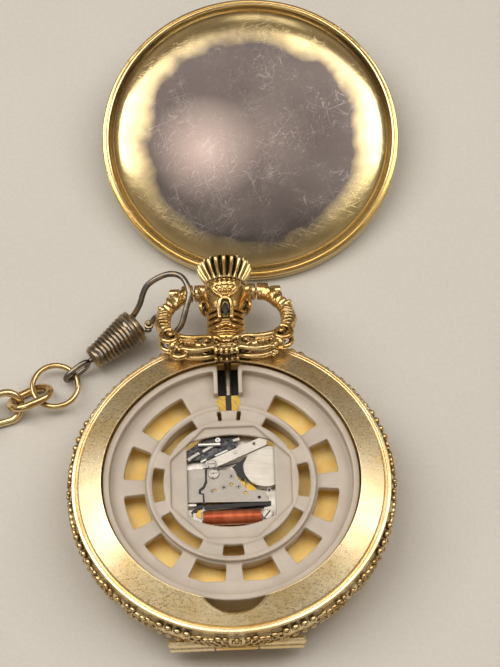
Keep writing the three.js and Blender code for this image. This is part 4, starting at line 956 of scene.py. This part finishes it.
def chain_line(ring_centre):
    """The chain's middle line: from the jump ring to the coil, round it, and in to the T-bar."""
    x, y = COIL_CENTRE
    route = [(ring_centre.x, ring_centre.y), (-33, 17.2), (-42, 15.9), (x + 12, y + COIL_OUT_R), (x, y + COIL_OUT_R)]
    line = [point.xy for point in smooth_line([(a, b, 0) for a, b in route[:-1]], 16)]
    for step in range(-4, 121):
        along = COIL_DEGREES * step / 120
        r = COIL_OUT_R - TURN_STEP * max(along, 0) / 360
        a = radians(90 + along)
        line.append(COIL_CENTRE + Vector((r * cos(a), r * sin(a))))
    last, before = line[-1], line[-2]
    ahead = (last - before).normalized()
    inward = Vector((-ahead.y, ahead.x))
    hub = last + inward * INNER_BEND_R
    for step in range(1, 25):
        a = radians(128) * step / 24
        line.append(hub + (ahead * sin(a) - inward * cos(a)) * INNER_BEND_R)
    to_bar = smooth_line([(*line[-1], 0), (x + 4.6, y + 5.2, 0), (x + 1.4, y + 4.0, 0)], 5)[1:]
    line += [point.xy for point in to_bar]
    return [Vector((p.x, p.y, CHAIN_Z)) for p in line]


def by_length(line, pitch, first):
    """Places and headings along a line, pitch apart."""
    walked = [0.0]
    for a, b in zip(line, line[1:]):
        walked.append(walked[-1] + (b - a).length)
    spots, target, i = [], first, 0
    while target < walked[-1]:
        while walked[i + 1] < target:
            i += 1
        t = (target - walked[i]) / (walked[i + 1] - walked[i])
        spots.append((line[i].lerp(line[i + 1], t), (line[i + 1] - line[i]).normalized()))
        target += pitch
    return spots, walked[-1]


def chain_piece(ring_centre):
    line = chain_line(ring_centre)
    spots, total = by_length(line, LINK_PITCH, 4.2)
    builder = Builder()
    for k, (centre, ahead) in enumerate(spots):
        lean = radians(40) * (-1 if k % 2 else 1)
        flat = UP.cross(ahead)
        wide = flat * cos(lean) + UP * sin(lean)
        normal = ahead.cross(wide).normalized()
        loop = []
        for a in around(28, pi / 28):
            reach = 2.2 * cos(a) + 0.95 * copysign(1, cos(a))
            loop.append(centre + ahead * reach + wide * 2.2 * sin(a))
        builder.tube(loop, 0.6, 10, closed=True, side=normal)
    chain = builder.piece("chain_links", CHAIN_GOLD, "chain", "chain_gold",
                          ["chain_link_1", "chain_link_2", "chain_link_3", "chain_run", "chain_coil", "chain_tail"])
    bar = Builder()
    x, y, z = COIL_CENTRE.x - 3.4, COIL_CENTRE.y + 3.8, 1.1
    turn = Matrix.Translation((x, y, z)) @ Matrix.Rotation(-pi / 2, 4, "X")
    half = [(0.02, 8.05), (0.5, 7.98), (0.9, 7.6), (1.05, 7.1), (0.9, 6.55), (0.62, 6.3), (0.8, 6.1), (0.62, 5.9),
            (0.66, 4.5), (0.8, 2.5), (0.95, 1.2), (1.0, 0.9), (0.7, 0.7)]
    bar.lathe(half + [(r, -s) for r, s in reversed(half)], 32, turn, closed=False)
    loop = [(x + 2.9 + 1.9 * cos(a), y + 1.9 * sin(a), z) for a in around(40)]
    bar.tube(loop, 0.5, 12, closed=True, side=UP)
    t_bar = bar.piece("t_bar_body", CHAIN_GOLD, "chain", "chain_gold", ["t_bar"])


# ---------------------------------------------------------------- movement holder
def prism(builder, outline, low, high):
    """A flat plate from an outline of (x, y) points, counter-clockwise."""
    start = len(builder.corners)
    count = len(outline)
    for z in (low, high):
        builder.corners.extend((x, y, z) for x, y in outline)
    builder.faces.append(tuple(start + i for i in reversed(range(count))))
    builder.faces.append(tuple(start + count + i for i in range(count)))
    for i in range(count):
        j = (i + 1) % count
        builder.faces.append((start + i, start + j, start + count + j, start + count + i))


def block(builder, inner, outer, first, last, low, high):
    """A closed sector between two radii, each a number or a function of the angle in degrees."""
    count = max(2, int((last - first) / 2) + 1)
    rows = []
    for i in range(count + 1):
        a = first + (last - first) * i / count
        c, s = cos(radians(a)), sin(radians(a))
        near, far = (edge(a) if callable(edge) else edge for edge in (inner, outer))
        rows.append([(r * c, r * s, z) for r, z in ((near, low), (far, low), (far, high), (near, high))])
    builder.grid(rows)
    start = len(builder.corners)
    builder.corners.extend(rows[0] + rows[-1])
    builder.faces.append((start, start + 1, start + 2, start + 3))
    builder.faces.append((start + 7, start + 6, start + 5, start + 4))


def opening_radius(degrees):
    """Edge of the hole over the movement: straight sides and two flat arcs, the upper one higher."""
    a = radians(degrees)
    drop, reach = (9.2, 197.6) if sin(a) > 0 else (5.45, 119.1)
    arc = -drop * abs(sin(a)) + sqrt((drop * sin(a)) ** 2 + reach)
    return min(arc, 6.3 / max(abs(cos(a)), 0.01))


def octagon_radius(degrees):
    return 8.7 / cos(radians(degrees - 45 * round(degrees / 45)))


def holder_piece():
    """The moulded ring: outer rim, windowed floor, ring wall and a stepped well round the movement."""
    builder, shade_sheets, flanks = Builder(), Builder(), Builder()
    floor = (8.3, 9.5)
    # inner radius, outer radius, first and last angle, bottom and top
    for sector in (
        (17.5, 18.42, 95.4, 444.6, 6.5, 11.0), (15.5, 17.7, 95.4, 444.6, *floor),
        (11.7, 12.2, 97, 443, 6.5, 10.3), (11.6, 12.5, 97, 443, *floor),
        *((12.2, 15.7, 30 * k - 5, 30 * k + 5, *floor) for k in range(12) if k not in (2, 3, 4)),
        (12.2, 15.7, 64, 84, *floor), (12.2, 15.7, 96, 116, *floor),
    ):
        block(builder, *sector)
    for x in (-1.8, 1.8):
        prism(builder, slab(x, 15.95, 0.3, 2.15), 8.3, 10.9)
    block(builder, octagon_radius, 9.75, 0, 360, 9.3, 10.3)
    block(builder, 11.35, 11.8, 97, 443, 9.3, 10.1)
    block(builder, 9.5, 11.4, 84, 96, 9.3, 10.1)
    halves = (14, 17, 9, 17, 14, 19, 8, 19)
    for k in range(8):
        block(builder, 9.5, 11.4, 45 * k + halves[k], 45 * (k + 1) - halves[(k + 1) % 8], 9.3, 10.1)
    block(builder, opening_radius, lambda a: octagon_radius(a) + 0.2, 0, 360, 9.4, 9.85)
    chord = [radians(-32 + 4 * k) for k in range(17)]
    prism(builder, [(17.6 * sin(a), -17.6 * cos(a)) for a in chord], 8.3, 9.56)
    builder.piece("holder_ring", HOLDER, "case", "milky_plastic", ["movement_holder"], fuse=0.15, soften=2)
    # painted shade: a dark plate deep in the stem slot, where the bow shades it
    prism(shade_sheets, slab(0, 16.9, 1.6, 2.7), 6.42, 6.6)
    for x in (-1.06, 1.06):
        prism(flanks, slab(x, 12.75, 0.64, 1.25), 9.3, 9.5)
    flanks.piece("slot_flanks", BRASS, "case", "brass")
    # painted shade: a dark strip over the stem in the slot window
    prism(shade_sheets, slab(0, 12.8, 0.42, 1.4), 9.1, 9.3)
    # painted shade: dark arcs in the narrow opening outside the ring's rim
    for first, last in ((168, 196), (-16, 12), (128, 142), (36, 48), (62, 70)):
        block(shade_sheets, 18.45, 18.56, first, last, 8.5, 10.6)
    # painted shade: dark slits at the steps beside the well
    for x in (-8.65, 8.67):
        prism(shade_sheets, slab(x, -0.25, 0.07, 2.15), 9.84, 9.93)
    shade_sheets.piece("holder_painted_shade", BLACK, "case", "dark_steel")


# ---------------------------------------------------------------- movement
def disc(builder, x, y, radius, low, high, hole=0.02):
    place = Matrix.Translation((x, y, 0))
    edge = min(0.06, radius * 0.3)
    builder.lathe([(hole, low), (radius, low), (radius, high - edge), (radius - edge, high), (hole, high)], 32, place)


def slotted_screw(builder, slots, x, y, radius, low, high, angle):
    disc(builder, x, y, radius, low, high)
    # painted shade: a dark slab in the screw's slot
    prism(slots, slab(x, y, radius * 0.93, 0.085, angle), high - 0.02, high + 0.012)


def movement_detail():
    steel, dark, white, brass = Builder(), Builder(), Builder(), Builder()
    slotted_screw(steel, dark, -2.5, 1.7, 0.78, 9.3, 9.5, 1.35)
    slotted_screw(steel, dark, -2.7, 3.15, 0.7, 9.5, 9.68, 0.6)
    slotted_screw(steel, dark, 5.0, -4.95, 0.72, 9.0, 9.6, 0.9)
    # steel rings round the pivot holes, with painted shade discs in the holes
    for x, y, r in ((0.0, 1.26, 0.2), (1.0, -0.4, 0.17), (-1.1, -0.45, 0.2), (-2.8, -0.9, 0.13), (5.4, -1.1, 0.2)):
        disc(steel, x, y, r + 0.13, 9.3, 9.33, hole=r)
        disc(dark, x, y, r, 9.28, 9.315)
    # painted shade: a dark disc in the hole of the next ring
    disc(dark, 3.45, 6.15, 0.22, 9.5, 9.57)
    disc(steel, 3.45, 6.15, 0.36, 9.5, 9.58, hole=0.23)
    disc(steel, 0.7, 4.9, 0.3, 9.5, 9.59, hole=0.2)
    # setting parts and contact springs on the dark block at the upper left
    disc(white, -1.75, 6.95, 0.42, 8.8, 9.6)
    disc(dark, -1.75, 6.95, 0.12, 9.59, 9.62)
    for x, y, angle, length in ((-3.15, 5.85, 0.55, 0.95), (-5.35, 4.65, 0.55, 1.0), (0.9, 7.05, 0.3, 0.5)):
        prism(steel, slab(x, y, length, 0.2, angle), 8.85, 9.25)
    for x, y, length in ((-3.9, 3.95, 0.45), (-1.3, 5.05, 1.0)):
        prism(white, slab(x, y, length, 0.12, 0.42), 8.9, 9.2)
    for k in range(9):
        x, y = -5.6 + 0.72 * k, 4.9 + 0.3 * k
        tooth = [(x, y), (x + 0.42, y + 0.12), (x + 0.3, y + 0.5), (x - 0.12, y + 0.38)]
        prism(dark, tooth, 8.85, 9.0 + 0.08 * (k % 3))
    # painted shade: dark sheets round the bridge and in the window beside the cell, where the plate below lies in
    # shadow
    gap = [(-3.75, 2.4), (-3.35, 2.75), (-3.5, 1.3), (-3.45, 0.4), (-3.9, -0.6), (-4.35, -0.85), (-4.35, -1.25),
           (-3.95, -1.3), (-3.9, -2.95), (-4.15, -2.95), (-4.15, -1.5), (-4.75, -1.3), (-4.7, -0.65), (-4.1, -0.2),
           (-3.75, 0.7)]
    prism(dark, gap[::-1], 9.28, 9.325)
    prism(dark, [(-4.0, 2.5), (-0.2, 2.9), (1.9, 3.5), (1.9, 3.62), (-0.3, 3.08), (-4.0, 2.68)], 9.28, 9.325)
    prism(dark, [(0.2, 2.65), (1.5, 0.75), (2.25, 0.7), (1.75, 1.8), (1.8, 3.1), (2.4, 4.35)], 9.28, 9.33)
    # band above the coil, its insulating sheet and the solder tabs
    prism(dark, [(-4.0, -3.65), (5.6, -3.35), (5.6, -2.75), (-4.0, -3.1)], 8.95, 9.12)
    prism(steel, [(4.45, -5.5), (5.75, -5.5), (5.9, -3.5), (4.6, -3.7)], 8.9, 9.1)
    prism(brass, [(-5.2, -4.6), (-4.45, -5.1), (-4.4, -3.7), (-4.9, -3.85)], 8.9, 9.15)
    prism(dark, [(-5.95, -4.0), (-5.5, -4.3), (-4.6, -3.2), (-4.2, -3.0), (-4.3, -2.75), (-4.9, -3.0)], 8.6, 8.9)
    steel.piece("movement_steel", STEEL, "case", "steel")
    # painted shade in openings, holes and screw slots, with the dark teeth and bands
    dark.piece("movement_shade_and_dark_parts", BLACK, "case", "dark_steel")
    white.piece("movement_pins", WHITE_METAL, "case", "steel")
    brass.piece("movement_brass", BRASS, "case", "brass")


def coil_piece():
    """The stepping coil: turns of lacquered wire between two flanges."""
    builder = Builder()
    turns, half = 74, 4.15
    profile = [(0.4, -half)]
    for k in range(turns * 4 + 1):
        t = k / (turns * 4)
        barrel = 1.04 + 0.05 * sin(pi * t)
        profile.append((barrel - 0.022 * cos(2 * pi * k / 4), -half + 2 * half * t))
    profile.append((0.4, half))
    place = Matrix.Translation((0, -4.95, 8.825)) @ Matrix.Rotation(pi / 2, 4, "Y")
    builder.lathe(profile, 40, place)
    builder.piece("coil_turns", COPPER, "case", "copper", ["coil_winding"])


# ---------------------------------------------------------------- dial and hands
def dial_detail():
    marks = Builder()
    face = 5.93
    for k in range(60):
        a = 2 * pi * k / 60
        long, wide = (0.7, 0.11) if k % 5 == 0 else (0.4, 0.05)
        middle = 19.6 - long / 2
        prism(marks, slab(middle * sin(a), middle * cos(a), long / 2, wide, pi / 2 - a), face - 0.03, face + 0.03)
    for r in (19.7, 17.6):
        marks.lathe([(r, face - 0.02), (r + 0.08, face - 0.02), (r + 0.08, face + 0.02), (r, face + 0.02)], 128)
    marks.piece("dial_marks", INK, "case", "dark_steel")
    for hour in range(1, 13):
        a = pi * hour / 6
        curve = bpy.data.curves.new(f"numeral_{hour}", "FONT")
        curve.body = str(hour)
        curve.align_x = curve.align_y = "CENTER"
        curve.size = 4.2 * MM
        curve.extrude = 0.02 * MM
        curve.materials.append(INK)
        text = bpy.data.objects.new(f"numeral_{hour}", curve)
        text.location = (-15.2 * sin(a) * MM, 15.2 * cos(a) * MM, (face - 0.01) * MM)
        text.rotation_euler = (0, pi, 0)
        bpy.context.scene.collection.objects.link(text)
        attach(text, "case")


# ---------------------------------------------------------------- front lid
def lid_relief():
    """Cast relief on the lid's front: a beaded ring and a wreath of leaves with a row of dots."""
    builder = Builder()
    for a in around(72):
        builder.ball((20.9 * cos(a), 20.9 * sin(a), 1.35), (0.62, 0.62, 0.5), steps=10)
    for a in around(36):
        for side in (-1, 1):
            x, y = 17.3 * cos(a) - side * 0.55 * sin(a), 17.3 * sin(a) + side * 0.55 * cos(a)
            builder.ball(Vector((x, y, 0.55)), (1.15, 0.42, 0.3), spin(a + side * 0.6), 10)
        builder.ball((15.4 * cos(a), 15.4 * sin(a), 0.38), (0.4, 0.4, 0.28), steps=10)
    builder.piece("lid_relief", GOLD_BAND, "front_lid", "gold_plate")


# ---------------------------------------------------------------- assembly
case_body()
band_ornament()
cover_dish()
pendant_piece()
crown_piece()
bow_piece()
bow_pins()
chain_piece(clasp_pieces())
movement_detail()
coil_piece()
holder_piece()
dial_detail()
lid_relief()

# nodes shown as they are; any other node is brass if it's a wheel and gold if not
CARRIED = {}
for material, names in (
    (STEEL, "coil_core stator_plate stem setting_lever lid_spring lid_catch cannon_pinion bridge_screw "
            "clamp_screw coil_screw"),
    (DIAL, "dial"), (CRYSTAL, "crystal"), (CELL, "battery"), (LEVER, "battery_clamp"), (BRIDGE, "train_bridge"),
    (PLATE, "main_plate"), (CIRCUIT, "circuit_board"), (WHITE_METAL, "quartz_can"), (BLACK, "rotor"),
    (INK, "minute_hand hour_hand second_hand"), (PEWTER, "gate_pin"),
):
    CARRIED.update((name, material) for name in names.split())
for name, node in nodes.items():
    node.data.materials.clear()
    node.data.materials.append(CARRIED.get(name, BRASS if "wheel" in name else GOLD))
